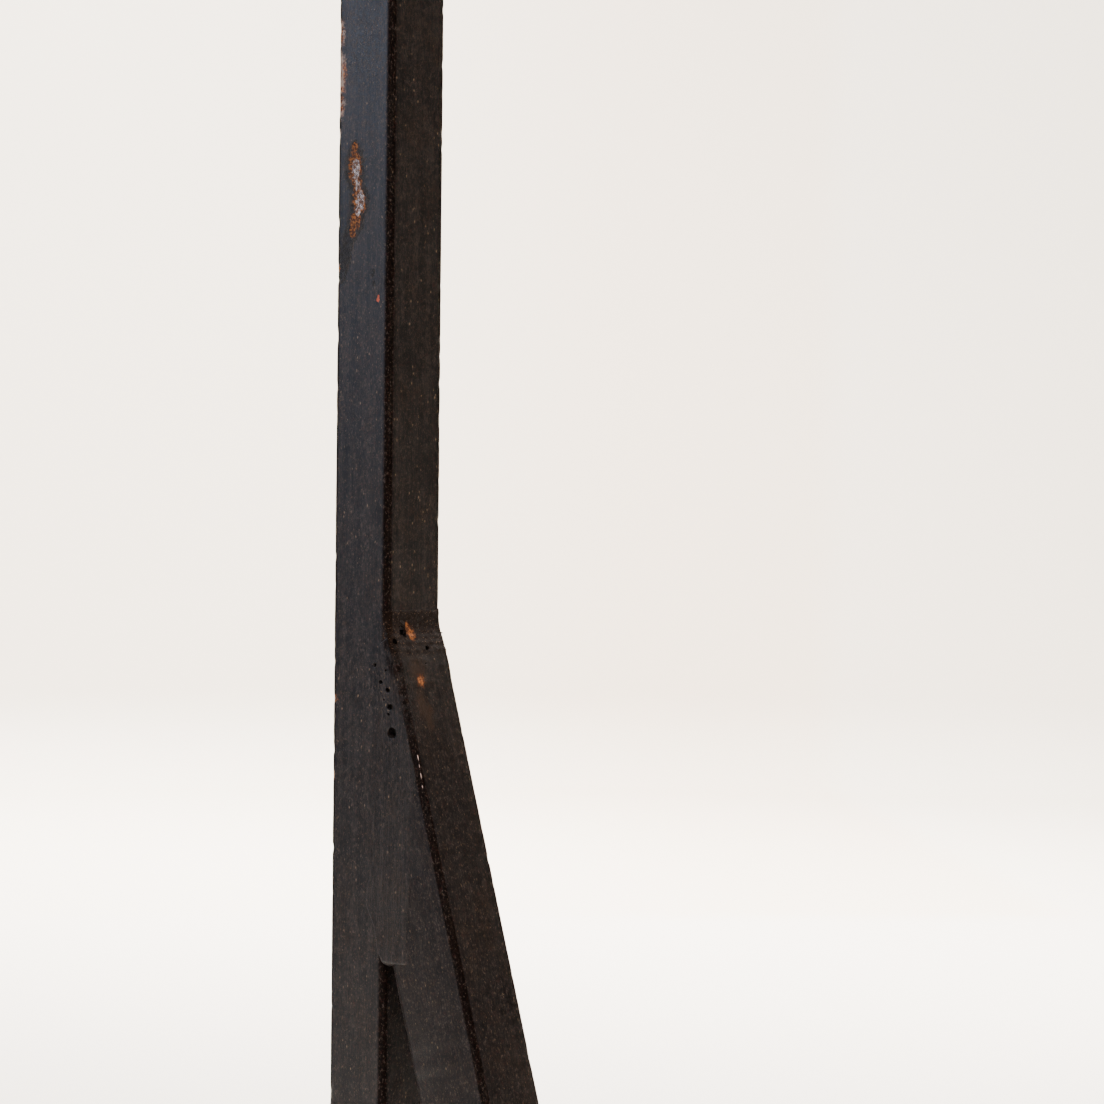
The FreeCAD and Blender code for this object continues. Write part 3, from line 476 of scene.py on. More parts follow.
def worn_paint(name, turn=0.0, marked="none", edges=True, ground=True):
    """Dark paint over rolled steel: streaks along the bar, brown edges, specks and marks.

    edges and ground say which of a piece's masks the paint reads."""
    c = bpy.context.scene.stand_colours
    g = Graph(name)
    here = g.place(JUNCTION)
    along = g.place(JUNCTION, turn, (1, 1, 9))
    streak = g.noise(along, 5.0, 4.0, 0.7)
    broad = g.noise(g.place(JUNCTION, turn, (1, 1, 16)), 0.9, 3.0, 0.6)
    blotch = g.noise(here, 0.16, 3.0, 0.55)
    grain = g.noise(here, 5.5, 3.0, 0.6)
    tone = g.calc("ADD", g.calc("MULTIPLY", streak, 0.6), g.calc("MULTIPLY", broad, 0.4))
    base = g.mix(g.step(tone, 0.42, 0.61), tuple(c.paint), tuple(c.paint_light))
    brown_share = g.calc("MULTIPLY", g.step(blotch, 0.42, 0.7), g.step(streak, 0.35, 0.7))
    base = g.mix(brown_share, base, tuple(c.paint_brown))
    for scale, least, size, share in ((1.1, 0.45, 0.2, 0.85), (2.3, 0.4, 0.25, 0.6),
                                      (4.2, 0.35, 0.3, 0.4)):
        cell, random = g.cells(g.place(JUNCTION, turn, (1, 1, 1.7)), scale)
        rare = g.step(g.part(random, 0), least, 1.0)
        fleck = g.calc("MULTIPLY", g.step(cell, size, size * 0.4), rare)
        base = g.mix(g.calc("MULTIPLY", fleck, share), base, tuple(c.fleck))
    shine = PAINT_SHINE
    if edges:
        # The edge mask holds brown wear on the corners and, on the post, painted shade in the
        # narrow of the gap; both turn the paint dark brown and dull.
        edge = g.attribute("edge")
        patchy = g.step(g.noise(here, 0.5, 4.0, 0.65), 0.4, 0.58, 0.55, 0.0)
        near_weld = g.calc("MULTIPLY", g.step(g.part(here, 2), -24.0, -12.0),
                           g.step(g.part(here, 2), 1.0, -3.0))
        kept = g.calc("SUBTRACT", 1.0, g.calc("MULTIPLY", near_weld, patchy))
        edge = g.calc("MULTIPLY", edge, kept)
        edge_and_shade_share = g.calc("MULTIPLY", edge, g.step(g.noise(along, 1.1, 3.0, 0.6), 0.2, 0.6))
        base = g.mix(g.calc("MULTIPLY", edge_and_shade_share, 0.92), base, tuple(c.edge_brown_and_shade))
        shine = g.calc("SUBTRACT", PAINT_SHINE, g.calc("MULTIPLY", edge, EDGE_DULLING))
    speckle = g.noise(g.place(JUNCTION, turn, (1, 1, 1.6)), 3.4, 3.0, 0.7)
    base = g.mix(g.step(speckle, 0.5, 0.4, 0.0, 0.8), base, SPECKLE_DARK)
    base = g.mix(g.step(speckle, 0.55, 0.68, 0.0, 0.7), base, SPECKLE_PALE)
    ruddy = g.step(g.noise(here, 1.4, 4.0, 0.7), 0.55, 0.68, 0.0, 0.55)
    base = g.mix(ruddy, base, RUDDY)
    rough = g.step(speckle, 0.35, 0.65, 0.3, 0.58)
    metal = 0.0
    height = g.calc("ADD", g.calc("MULTIPLY", streak, 0.45), g.calc("MULTIPLY", grain, 0.6))
    if ground:
        scratch = g.noise(g.place(JUNCTION, 0.05, (1, 1, 30)), 6.0, 3.0, 0.7)
        swept = g.calc("MULTIPLY", g.step(scratch, 0.45, 0.75), g.attribute("ground"))
        base = g.mix(g.calc("MULTIPLY", swept, 0.35), base, GRINDING_MARK)
        height = g.calc("ADD", height, g.calc("MULTIPLY", swept, 0.5))
    if marked == "side":
        base, rough, metal, height = side_marks(g, here, base, rough, height)
    if marked == "head":
        base, rough, shine, height = head_marks(g, here, base, rough, shine, height)
    normal = g.bump(height, 0.75, 0.08 * MM)
    return g.surface(base, rough, normal, metal, shine)


# ---- the bars ----------------------------------------------------------------------------------

def row_heights(bands):
    """Heights from bands of (start, end, step)."""
    heights = []
    for start, end, gap in bands:
        count = max(1, round((end - start) / gap))
        heights += [start + (end - start) * i / count for i in range(count)]
    return heights + [bands[-1][1]]


def fine_bar(bm, size, corner, heights, columns):
    """A square bar on Z with rounded corners, cut into fine rows and columns.

    columns holds the cuts across the front, the outer side, the back and the inner side."""
    bmesh.ops.create_cube(bm, size=1.0)
    bmesh.ops.scale(bm, vec=size, verts=bm.verts)
    upright = [e for e in bm.edges if abs(e.verts[0].co.z - e.verts[1].co.z) > size[2] / 2]
    bmesh.ops.bevel(bm, geom=upright, offset=corner, offset_type="OFFSET", segments=6,
                    profile=0.5, affect="EDGES", material=-1)
    upright = [e for e in bm.edges if abs(e.verts[0].co.z - e.verts[1].co.z) > size[2] / 2]
    bmesh.ops.subdivide_edges(bm, edges=upright, cuts=len(heights) - 2, use_grid_fill=True)
    sides = ((1, -size[1] / 2), (0, size[0] / 2), (1, size[1] / 2), (0, -size[0] / 2))
    for (axis, at), cuts in zip(sides, columns):
        wide = [e for e in bm.edges if e.calc_length() > 4 * MM
                and all(abs(v.co[axis] - at) < 1e-7 for v in e.verts)
                and abs(e.verts[0].co.z - e.verts[1].co.z) < 1e-7]
        bmesh.ops.subdivide_edges(bm, edges=wide, cuts=cuts, use_grid_fill=True)
    for v in bm.verts:
        row = round((v.co.z / size[2] + 0.5) * (len(heights) - 1))
        v.co.z = heights[row]


def store_masks(piece, value_at):
    """Store masks, a number for each point of a mesh under each name."""
    for name, value in value_at.items():
        layer = piece.data.attributes.new(name, "FLOAT", "POINT")
        layer.data.foreach_set("value", [value(v.co) for v in piece.data.vertices])


def post_edge_and_gap_shade(co):
    """1 on the post's rounded corners, and nearly 1 on its face in the narrow of the gap, where it
    marks painted shade.
    """
    side, face = HALF - abs(co.x - POST_X), HALF - abs(co.y)
    up = (co.z - HEAD_Z) / MM
    # Painted shade: the post's face deep in the gap under the strut is marked nearly 1, so its
    # paint turns dark brown and dull.
    gap_shade = smooth(0.3 * MM, 0.1 * MM, FACE_X - co.x)
    gap_shade *= smooth(-150, -70, up) * smooth(-49, -52, up)
    return max(smooth(1.3 * MM, 0.95 * MM, max(side, face)), 0.85 * gap_shade)


def wear_post(bm, sizes):
    """Waves, knocked corners, the chip and its pits."""
    bm.normal_update()
    moves = []
    for v in bm.verts:
        co, normal = v.co, v.normal
        across, up = (co.x - POST_X) / MM, (co.z - HEAD_Z) / MM
        depth = sizes.wave * ripple(co, 7 * MM) + 0.4 * sizes.wave * ripple(co, 2 * MM, 3.0)
        if post_edge_and_gap_shade(co) > 0.3:
            knock = ripple((co.x, co.y, co.z * 0.7), 1.6 * MM, 9.0)
            depth -= 0.12 * MM * smooth(0.25, 0.6, knock) * post_edge_and_gap_shade(co)
        if normal.y < -0.5:
            fray = 0.5 * ripple(co, 0.7 * MM, 5.0)
            chip = spot_value(CHIP_RUST, across, up) + fray
            pits = spot_value(CHIP_PITS, across, up) + fray
            worn = spot_value(EDGE_WEAR, across, up) + fray
            rough = 0.5 + 0.5 * ripple(co, 0.45 * MM, 7.0)
            depth -= sizes.chip_depth * smooth(0.0, 0.35, chip) * (0.55 + 0.9 * rough)
            depth -= 0.16 * MM * smooth(0.0, 0.4, pits) * rough * 1.6
            depth -= 0.08 * MM * smooth(0.0, 0.5, worn) * (0.4 + rough)
            depth -= 0.05 * MM * smooth(0.1, 0.4, spot_value(RED_DOT, across, up))
        moves.append((v, normal * depth))
    for v, move in moves:
        v.co += move


def pore_cutter(name, pores, place):
    """One mesh of lumpy balls that cuts the pores."""
    bm = bmesh.new()
    for index, (across, up, half_w, half_h, depth) in enumerate(pores):
        found = bmesh.ops.create_icosphere(bm, subdivisions=3, radius=1.0)["verts"]
        for v in found:
            swell = 1.0 + 0.22 * noise.noise(v.co * 1.3 + Vector((index * 3.1, 0, 0)))
            v.co = place(v.co * swell, across, up, half_w, half_h, depth)
    return finish_mesh(bm, name)


def cut_pores(piece, name, pores, place):
    """Cut a group of pores into a piece."""
    cutter = pore_cutter(name, pores, place)
    cut = piece.modifiers.new("pores", "BOOLEAN")
    cut.operation = "DIFFERENCE"
    cut.solver = "EXACT"
    cut.object = cutter
    bpy.context.view_layer.update()
    graph = bpy.context.evaluated_depsgraph_get()
    done = bpy.data.meshes.new_from_object(piece.evaluated_get(graph))
    piece.modifiers.clear()
    old = piece.data
    piece.data = done
    bpy.data.meshes.remove(old)
    bpy.data.objects.remove(cutter)
    for face in piece.data.polygons:
        face.use_smooth = True


def side_place(unit, across, up, half_w, half_h, depth):
    """A point of a pore in the side of the joint."""
    return Vector((POST_X + (across + unit.x * half_w) * MM, -HALF + unit.y * depth * MM,
                   HEAD_Z + (up + unit.z * half_h) * MM))


def head_place(unit, across, up, half_w, half_h, depth):
    """A point of a pore in the strut's head."""
    x = FACE_X + head_profile(up) * MM
    return Vector((x + unit.x * depth * MM, (across + unit.y * half_w) * MM,
                   HEAD_Z + (up + unit.z * half_h) * MM))


# How far the head weld stands off the post's face, from its top down: up, out.
HEAD_CURVE = ((0.75, -0.5), (0.5, -0.02), (0.3, 0.22), (-0.2, 0.2), (-1.2, 0.08),
              (-2.2, 0.1), (-3.1, 0.42), (-4.0, 0.95), (-4.9, 1.42), (-6.2, 1.98), (-8.2, 2.55))


def head_profile(up):
    """How far the strut's head stands off the post's face, in millimetres."""
    ideal = -up * math.tan(TILT)
    if up <= HEAD_CURVE[-1][0]:
        return ideal + 0.15 * smooth(-12.0, HEAD_CURVE[-1][0], up)
    if up >= HEAD_CURVE[0][0]:
        return HEAD_CURVE[0][1]
    for (up0, out0), (up1, out1) in zip(HEAD_CURVE, HEAD_CURVE[1:]):
        if up1 <= up <= up0:
            t = (up0 - up) / (up0 - up1)
            return out0 + (out1 - out0) * t * t * (3 - 2 * t)
    return ideal


class RETORT_OT_post(bpy.types.Operator):
    """Build the post, with its rounded corners, chip and wear"""
    bl_idname = "retort.post"
    bl_label = "Post"

    def execute(self, context):
        sizes = context.scene.stand_sizes
        low, high = POST_LOW.z, POST_HIGH.z
        near, far = (HEAD_Z + up * MM for up in FINE_SPAN)
        chip0, chip1 = (HEAD_Z + up * MM for up in CHIP_SPAN)
        bands = ((low, near, COARSE_ROW * MM), (near, chip0, FINE_ROW * MM),
                 (chip0, chip1, CHIP_ROW * MM), (chip1, far, FINE_ROW * MM),
                 (far, high, COARSE_ROW * MM))
        bm = bmesh.new()
        fine_bar(bm, (BAR, BAR, high - low), sizes.corner, row_heights(bands),
                 (40, 14, 4, 4))
        top = [e for e in bm.edges if all(v.co.z > high - 1e-6 for v in e.verts)
               and e.is_manifold and len({round(f.normal.z, 2) for f in e.link_faces}) > 1]
        bmesh.ops.bevel(bm, geom=top, offset=1.5 * MM, segments=1, profile=0.5,
                        affect="EDGES", material=-1)
        bmesh.ops.translate(bm, vec=(POST_X, 0, 0), verts=bm.verts)
        wear_post(bm, sizes)
        piece = finish_mesh(bm, "post_bar")
        cut_pores(piece, "post_pores", SIDE_PORES, side_place)
        # The edge mask carries the corners' wear and the painted shade in the narrow of the gap.
        store_masks(piece, {"edge": post_edge_and_gap_shade, "ground": ground_mask})
        dress(piece, "stand", "bar_steel", worn_paint("post_paint", marked="side"), "post")
        return {"FINISHED"}


def strut_paint():
    """The strut's paint, which its head weld shares."""
    return shared_finish("strut_paint", worn_paint, -TILT, "head")


def strut_local(co):
    """Along the strut from its head, out from its outer face, in metres."""
    from_head = co - Vector((FACE_X, co.y, HEAD_Z))
    return from_head.dot(DOWN), from_head.dot(OUT)


def strut_edge(co):
    """1 on the strut's rounded corners."""
    _, out = strut_local(co)
    depth = min(-out, STRUT_DEPTH + out)
    side = HALF - abs(co.y)
    return smooth(1.3 * MM, 0.95 * MM, max(depth, side))


class RETORT_OT_strut(bpy.types.Operator):
    """Build the raking strut"""
    bl_idname = "retort.strut"
    bl_label = "Strut"

    def execute(self, context):
        sizes = context.scene.stand_sizes
        run = (HEAD_Z - PLATE_TOP) / math.cos(TILT)
        bands = ((-run - 6 * MM, -100 * MM, 6 * MM), (-100 * MM, 0.0, 0.5 * MM),
                 (0.0, 6 * MM, 2 * MM))
        heights = row_heights(bands)
        bm = bmesh.new()
        total = heights[-1] - heights[0]
        fine_bar(bm, (STRUT_DEPTH, BAR, total), sizes.corner, heights, (34, 26, 4, 4))
        bmesh.ops.translate(bm, vec=(-STRUT_DEPTH / 2, 0, 0), verts=bm.verts)
        turn = Matrix.Rotation(-TILT, 3, "Y")
        bmesh.ops.rotate(bm, cent=(0, 0, 0), matrix=turn, verts=bm.verts)
        bmesh.ops.translate(bm, vec=(FACE_X, 0, HEAD_Z), verts=bm.verts)
        bm.normal_update()
        moves = []
        for v in bm.verts:
            depth = sizes.wave * ripple(v.co, 7 * MM, 2.0) + 0.4 * sizes.wave * ripple(
                v.co, 2 * MM, 4.0)
            knock = ripple((v.co.x, v.co.y, v.co.z * 0.7), 1.6 * MM, 19.0)
            depth -= 0.1 * MM * smooth(0.25, 0.6, knock) * strut_edge(v.co)
            moves.append((v, v.normal * depth))
        for v, move in moves:
            v.co += move
        # The head is sawn off inside the post, and the foot is cut to the plate.
        hidden = FACE_X - HEAD_SUNK
        cuts = (((0, 0, PLATE_TOP + 0.2 * MM), (0, 0, -1)), ((hidden, 0, 0), (-1, 0, 0)))
        for spot, away in cuts:
            bmesh.ops.bisect_plane(bm, geom=bm.verts[:] + bm.edges[:] + bm.faces[:], dist=1e-7,
                                   plane_co=spot, plane_no=away, clear_outer=True)
            rim = [e for e in bm.edges if e.is_boundary]
            bmesh.ops.holes_fill(bm, edges=rim, sides=0)
        for v in bm.verts:
            up = (v.co.z - HEAD_Z) / MM
            limit = FACE_X + (head_profile(up) - 0.3) * MM
            if up > -9.5 and v.co.x > limit:
                v.co.x = max(hidden, limit)
        piece = finish_mesh(bm, "strut_bar")
        cut_pores(piece, "strut_pores", SIDE_PORES, side_place)
        store_masks(piece, {"edge": strut_edge, "ground": ground_mask})
        dress(piece, "stand", "bar_steel", strut_paint(), "strut")
        return {"FINISHED"}


# ---- welds ---------------------------------------------------------------------------------------

# The ground weld's left border on the side of the joint, from its top to the gap: up, across.
TOE_LINE = ((-3.4, 6.9), (-5.0, 4.6), (-9.0, 3.1), (-18.0, 3.5), (-28.0, 2.6), (-40.0, 2.2),
            (-47.5, 1.9), (-50.9, 3.8), (-52.3, 4.2), (-55.2, 4.9), (-57.2, 6.2), (-58.0, 6.4))
WELD_TOP = -3.2
WELD_END = -57.1
WELD_END_R = 1.0


def toe_at(up):
    """Where the ground weld starts across the side, in millimetres from the post's axis."""
    if up >= TOE_LINE[0][0]:
        return TOE_LINE[0][1]
    for (up0, x0), (up1, x1) in zip(TOE_LINE, TOE_LINE[1:]):
        if up1 <= up <= up0:
            return x0 + (x1 - x0) * (up0 - up) / (up0 - up1)
    return TOE_LINE[-1][1]


def side_weld(bm, side, sizes):
    """A thin ground skin of weld over the seam, folded in under its lower end.

    side is -1 for the front and 1 for the back."""
    straight = WELD_TOP - (WELD_END + WELD_END_R)
    whole = straight + WELD_END_R * math.pi / 2 + 4.0
    bmesh.ops.create_grid(bm, x_segments=76, y_segments=300, size=0.5)
    for v in bm.verts:
        run = (v.co.y + 0.5) * whole
        past = max(0.0, run - straight)
        angle = min(past / WELD_END_R, math.pi / 2)
        inward = WELD_END_R * (1 - math.cos(angle)) + max(0.0, past - WELD_END_R * math.pi / 2)
        up = WELD_TOP - min(run, straight) - WELD_END_R * math.sin(angle)
        z = HEAD_Z + up * MM
        wobble = 0.22 * ripple((0, side * MM, z), 1.5 * MM, 11.0) + 0.3 * ripple(
            (0, side * MM, z), 5 * MM, 12.0)
        toe = toe_at(up) + wobble * smooth(-3.4, -8.0, up)
        outer_line = HALF / MM - up * math.tan(TILT)
        corner_line = outer_line - sizes.corner / MM
        fade_line = 13.2 + 1.3 * ripple((0, side * MM, z), 9 * MM, 13.0)
        right = min(corner_line, fade_line)
        left = toe - 0.4
        across = left + (right + 0.2 - left) * (v.co.x + 0.5)
        x = POST_X + across * MM
        ease = 0.35 + 1.6 * smooth(-47.0, -38.0, up) * smooth(-5.0, -14.0, up)
        inside = smooth(toe, toe + ease, across)
        share = smooth(0.0, 2.5, corner_line - fade_line)
        inside *= 1.0 - share * (1.0 - smooth(right, right - 2.2, across))
        proud = sizes.weld_proud * (0.8 + 0.6 * ripple((x, 0, z), 4 * MM, 14.0)) / MM
        proud += 0.012 * ripple((x * 3, 0, z * 0.3), 1.2 * MM, 15.0)
        sag = 0.25 * ripple((x, 0, z), 1.1 * MM, 16.0) * math.sin(angle)
        rise = proud * inside - 0.2 * (1 - inside)
        v.co = Vector((x, side * (HALF + (rise - inward) * MM), z + sag * MM))
    bmesh.ops.recalc_face_normals(bm, faces=bm.faces)
    if sum(f.normal.y for f in bm.faces) * side < 0:
        bmesh.ops.reverse_faces(bm, faces=bm.faces)
    bmesh.ops.solidify(bm, geom=bm.faces[:], thickness=0.5 * MM)


def ground_mask(co):
    """1 where the weld was ground, fading at its borders."""
    across, up = (co.x - POST_X) / MM, (co.z - HEAD_Z) / MM
    if co.y > 0 or up > -2.0 or up < -60.0:
        return 0.0
    return (smooth(toe_at(up) - 0.6, toe_at(up) + 1.8, across) * smooth(-3.0, -12.0, up)
            * smooth(14.5, 10.5, across) * smooth(-59.0, -56.5, up))


def seam_shade(co):
    """The dark line where the seam's top runs from the post's corner to the strut's."""
    across, up = (co.x - POST_X) / MM, (co.z - HEAD_Z) / MM
    border = HALF / MM - up * math.tan(TILT) - BAR_CORNER
    return smooth(1.5, 0.5, border - across) * smooth(-20.0, -7.0, up)


def head_weld(bm):
    """The lumpy weld across the strut's head, rolled round both corners of the bar."""
    corner = BAR_CORNER
    flat = BAR / MM / 2 - corner
    bmesh.ops.create_grid(bm, x_segments=84, y_segments=72, size=0.5)
    for v in bm.verts:
        along = v.co.x * 2
        up = 0.7 - (v.co.y + 0.5) * 12.5
        inner = 0.84
        if abs(along) <= inner:
            y, drop = flat * along / inner, 0.0
        else:
            angle = (abs(along) - inner) / (1 - inner) * math.pi / 2
            y = math.copysign(flat + corner * math.sin(angle), along)
            drop = corner * (1 - math.cos(angle))
        z = HEAD_Z + up * MM
        lump = (0.16 * ripple((0, y * MM, z), 2.2 * MM, 21.0)
                + 0.12 * ripple((0, y * MM, z), 0.9 * MM, 22.0)
                + 0.05 * ripple((0, y * MM, z), 0.45 * MM, 24.0))
        lump *= smooth(0.6, 0.0, up) * smooth(-11.5, -6.5, up)
        ragged = up + 0.6 * ripple((0, y * MM, 0), 1.3 * MM, 23.0)
        out = head_profile(ragged if up > -3 else up) + lump
        fade = smooth(-10.2, -11.6, up)
        out -= 0.3 * fade
        v.co = Vector((FACE_X + (out - drop) * MM, y * MM, z))
    bmesh.ops.recalc_face_normals(bm, faces=bm.faces)
    if sum(f.normal.x for f in bm.faces) < 0:
        bmesh.ops.reverse_faces(bm, faces=bm.faces)
    bmesh.ops.solidify(bm, geom=bm.faces[:], thickness=0.5 * MM)


def crotch_weld(bm):
    """The plug of weld in the narrow end of the gap."""
    top = (CROTCH_Z - HEAD_Z) / MM + 3.0
    bmesh.ops.create_cube(bm, size=1.0)
    bmesh.ops.subdivide_edges(bm, edges=bm.edges[:], cuts=22, use_grid_fill=True)
    for v in bm.verts:
        up = WELD_END + (v.co.z + 0.5) * (top - WELD_END)
        gap = max(0.0, top - 3.0 - up) * math.tan(TILT)
        across = HALF / MM - 0.4 + (v.co.x + 0.5) * (gap + 0.8)
        y = v.co.y * 2 * (HALF / MM - 2.0)
        lump = 0.35 * ripple((across * MM, y * MM, 0), 1.6 * MM, 31.0)
        up += lump * smooth(0.0, -0.5, v.co.z)
        v.co = Vector((POST_X + across * MM, y * MM, HEAD_Z + up * MM))


class RETORT_OT_joint_welds(bpy.types.Operator):
    """Build the welds that join the strut's head to the post"""
    bl_idname = "retort.joint_welds"
    bl_label = "Joint welds"

    def execute(self, context):
        sizes = context.scene.stand_sizes
        paint = worn_paint("weld_paint")
        for label, side in (("front", -1), ("back", 1)):
            bm = bmesh.new()
            side_weld(bm, side, sizes)
            piece = finish_mesh(bm, "seam_weld_" + label)
            if side < 0:
                cut_pores(piece, "seam_pores", SIDE_PORES, side_place)
            store_masks(piece, {"edge": seam_shade, "ground": ground_mask})
            dress(piece, "stand", "weld_steel", paint, "strut_seam_welds")
        bm = bmesh.new()
        head_weld(bm)
        piece = finish_mesh(bm, "head_weld")
        cut_pores(piece, "head_pores", HEAD_PORES, head_place)
        store_masks(piece, {"edge": strut_edge})
        dress(piece, "stand", "weld_steel", strut_paint(), "strut_head_weld")
        bm = bmesh.new()
        crotch_weld(bm)
        piece = finish_mesh(bm, "crotch_weld")
        paint = worn_paint("crotch_paint", edges=False, ground=False)
        dress(piece, "stand", "weld_steel", paint, "strut_crotch_weld")
        return {"FINISHED"}


# ---- finishes of the fittings --------------------------------------------------------------------

def cast_enamel(name):
    """Thick dark enamel on castings: orange peel, chipped to steel and rust on the edges."""
    c = bpy.context.scene.stand_colours
    g = Graph(name)
    here = g.place()
    peel = g.noise(here, 0.9, 2.0, 0.5)
    fine = g.noise(here, 3.5, 3.0, 0.6)
    blotch = g.noise(here, 0.12, 3.0, 0.6)
    base = g.mix(g.step(blotch, 0.35, 0.7), tuple(c.enamel), (0.024, 0.026, 0.028))
    dust = g.calc("MULTIPLY", g.step(fine, 0.56, 0.7), 0.35)
    base = g.mix(dust, base, (0.1, 0.085, 0.07))
    edge = g.attribute("edge")
    ragged = g.calc("ADD", edge, g.calc("MULTIPLY", g.calc("SUBTRACT", fine, 0.5), 1.3))
    chipped = g.calc("MULTIPLY", g.step(ragged, 0.5, 0.62), g.step(blotch, 0.4, 0.55))
    halo = g.calc("MULTIPLY", g.step(ragged, 0.3, 0.55), g.step(blotch, 0.38, 0.5))
    steel = g.mix(g.step(peel, 0.45, 0.62), (0.33, 0.3, 0.28), tuple(c.rust_dark))
    base = g.mix(halo, base, (0.03, 0.016, 0.011))
    base = g.mix(chipped, base, steel)
    rough = g.blend(chipped, g.step(fine, 0.3, 0.7, 0.3, 0.46), 0.5)
    metal = g.calc("MULTIPLY", chipped, 0.7)
    height = g.calc("ADD", g.calc("MULTIPLY", peel, 1.2), g.calc("MULTIPLY", fine, 0.3))
    height = g.calc("SUBTRACT", height, g.calc("MULTIPLY", chipped, 0.8))
    return g.surface(base, rough, g.bump(height, 0.5, 0.12 * MM), metal)


def turned_metal(name, colour_value, rough_value, along, tarnish=(0.2, 0.15, 0.1), age=0.35):
    """Machined or plated metal, with fine lines round one axis, smudges and dull freckles."""
    g = Graph(name)
    here = g.place()
    stretch = [30.0, 30.0, 30.0]
    stretch["XYZ".index(along)] = 0.12
    lines = g.noise(g.place(stretch=stretch), 1.0, 3.0, 0.7)
    smudge = g.noise(here, 0.13, 4.0, 0.6)
    fine = g.noise(here, 2.4, 4.0, 0.65)
    dull = g.calc("MULTIPLY", g.step(smudge, 0.42, 0.75), age)
    base = g.mix(dull, tuple(colour_value), tuple(v * 0.55 for v in colour_value))
    freckle = g.calc("MULTIPLY", g.step(fine, 0.62, 0.7), g.step(smudge, 0.48, 0.62))
    base = g.mix(g.calc("MULTIPLY", freckle, age * 1.6), base, tarnish)
    rough = g.calc("ADD", g.step(lines, 0.3, 0.7, rough_value - 0.06, rough_value + 0.06),
                   g.calc("MULTIPLY", dull, 0.35))
    metal = g.calc("SUBTRACT", 1.0, g.calc("MULTIPLY", freckle, age))
    height = g.calc("ADD", g.calc("MULTIPLY", lines, 0.7), g.calc("MULTIPLY", fine, 0.25))
    return g.surface(base, rough, g.bump(height, 0.25, 0.05 * MM), metal, 0.5)


def cork_finish():
    """Pressed cork: pale crumbs, dark gaps between them and small pits."""
    c = bpy.context.scene.stand_colours
    g = Graph("cork")
    here = g.place()
    near, random = g.cells(here, 0.85)
    tone = g.part(random, 0)
    fine = g.noise(here, 4.0, 3.0, 0.6)
    base = g.mix(tone, tuple(c.cork), tuple(v * 0.5 for v in c.cork))
    base = g.mix(g.step(near, 0.42, 0.62), base, (0.09, 0.045, 0.02))
    base = g.mix(g.calc("MULTIPLY", g.step(fine, 0.6, 0.72), 0.6), base, (0.05, 0.025, 0.012))
    height = g.calc("SUBTRACT", g.calc("MULTIPLY", fine, 0.6), near)
    return g.surface(base, g.step(fine, 0.3, 0.7, 0.8, 0.95), g.bump(height, 0.6, 0.2 * MM),
                     specular=0.2)


def rubber_finish():
    """Moulded rubber: fine grain, dust on the flanks and scuffed rims."""
    c = bpy.context.scene.stand_colours
    g = Graph("foot_rubber")
    here = g.place()
    grain = g.noise(here, 3.0, 3.0, 0.6)
    dust = g.noise(here, 0.35, 4.0, 0.65)
    base = g.mix(g.calc("MULTIPLY", g.step(dust, 0.45, 0.75), 0.6), tuple(c.rubber),
                 (0.09, 0.083, 0.075))
    base = g.mix(g.calc("MULTIPLY", g.attribute("edge"), 0.5), base, (0.06, 0.058, 0.055))
    return g.surface(base, g.step(grain, 0.3, 0.7, 0.6, 0.8), g.bump(grain, 0.4, 0.08 * MM),
                     specular=0.3)


# ---- fittings ------------------------------------------------------------------------------------

SCREW_HEAD = 12 * MM
SCREW_THREAD_R = 3.95 * MM
SCREW_PITCH = 1.25 * MM
BOLT_THREAD_R = 3.0 * MM
BOLT_PITCH = 1.0 * MM
BOLT_HEAD = 3.5 * MM
SPRING_WIRE_R = 0.5 * MM
SPRING_TURNS = 6


def node_copy(*nodes):
    """CAD meshes copied into one bmesh, with their loose triangles joined."""
    bm = bmesh.new()
    for node in nodes:
        bm.from_mesh(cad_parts[node].data)
    bmesh.ops.remove_doubles(bm, verts=bm.verts, dist=1e-6)
    return bm


def edged(bm, width, least=28.0):
    """Round a mesh's sharp edges and mark the middle of each round in the edge attribute."""
    bmesh.ops.dissolve_limit(bm, angle_limit=math.radians(0.6), verts=bm.verts, edges=bm.edges)
    sharp = [e for e in bm.edges if e.is_manifold and e.calc_face_angle(0) > math.radians(least)]
    made = bmesh.ops.bevel(bm, geom=sharp, offset=width, offset_type="OFFSET", segments=2,
                           profile=0.5, affect="EDGES", clamp_overlap=True, material=-1)
    rounds = set(made["faces"])
    layer = bm.verts.layers.float.new("edge")
    for v in made["verts"]:
        if v.is_valid and all(f in rounds for f in v.link_faces):
            v[layer] = 1.0


def edged_piece(name, width, body, slot, material, *nodes):
    """A node's shape with its edges broken."""
    bm = node_copy(*nodes)
    edged(bm, width)
    piece = finish_mesh(bm, name)
    even = piece.modifiers.new("even shading", "WEIGHTED_NORMAL")
    even.keep_sharp = True
    return dress(piece, body, slot, material, *nodes)


def remeshed(bm, voxel):
    """A mesh rebuilt as an even skin of small faces."""
    piece = finish_mesh(bm, "raw")
    skin = piece.modifiers.new("skin", "REMESH")
    skin.mode = "VOXEL"
    skin.voxel_size = voxel
    bpy.context.view_layer.update()
    graph = bpy.context.evaluated_depsgraph_get()
    mesh = bpy.data.meshes.new_from_object(piece.evaluated_get(graph))
    old = piece.data
    bpy.data.objects.remove(piece)
    bpy.data.meshes.remove(old)
    done = bmesh.new()
    done.from_mesh(mesh)
    bpy.data.meshes.remove(mesh)
    return done


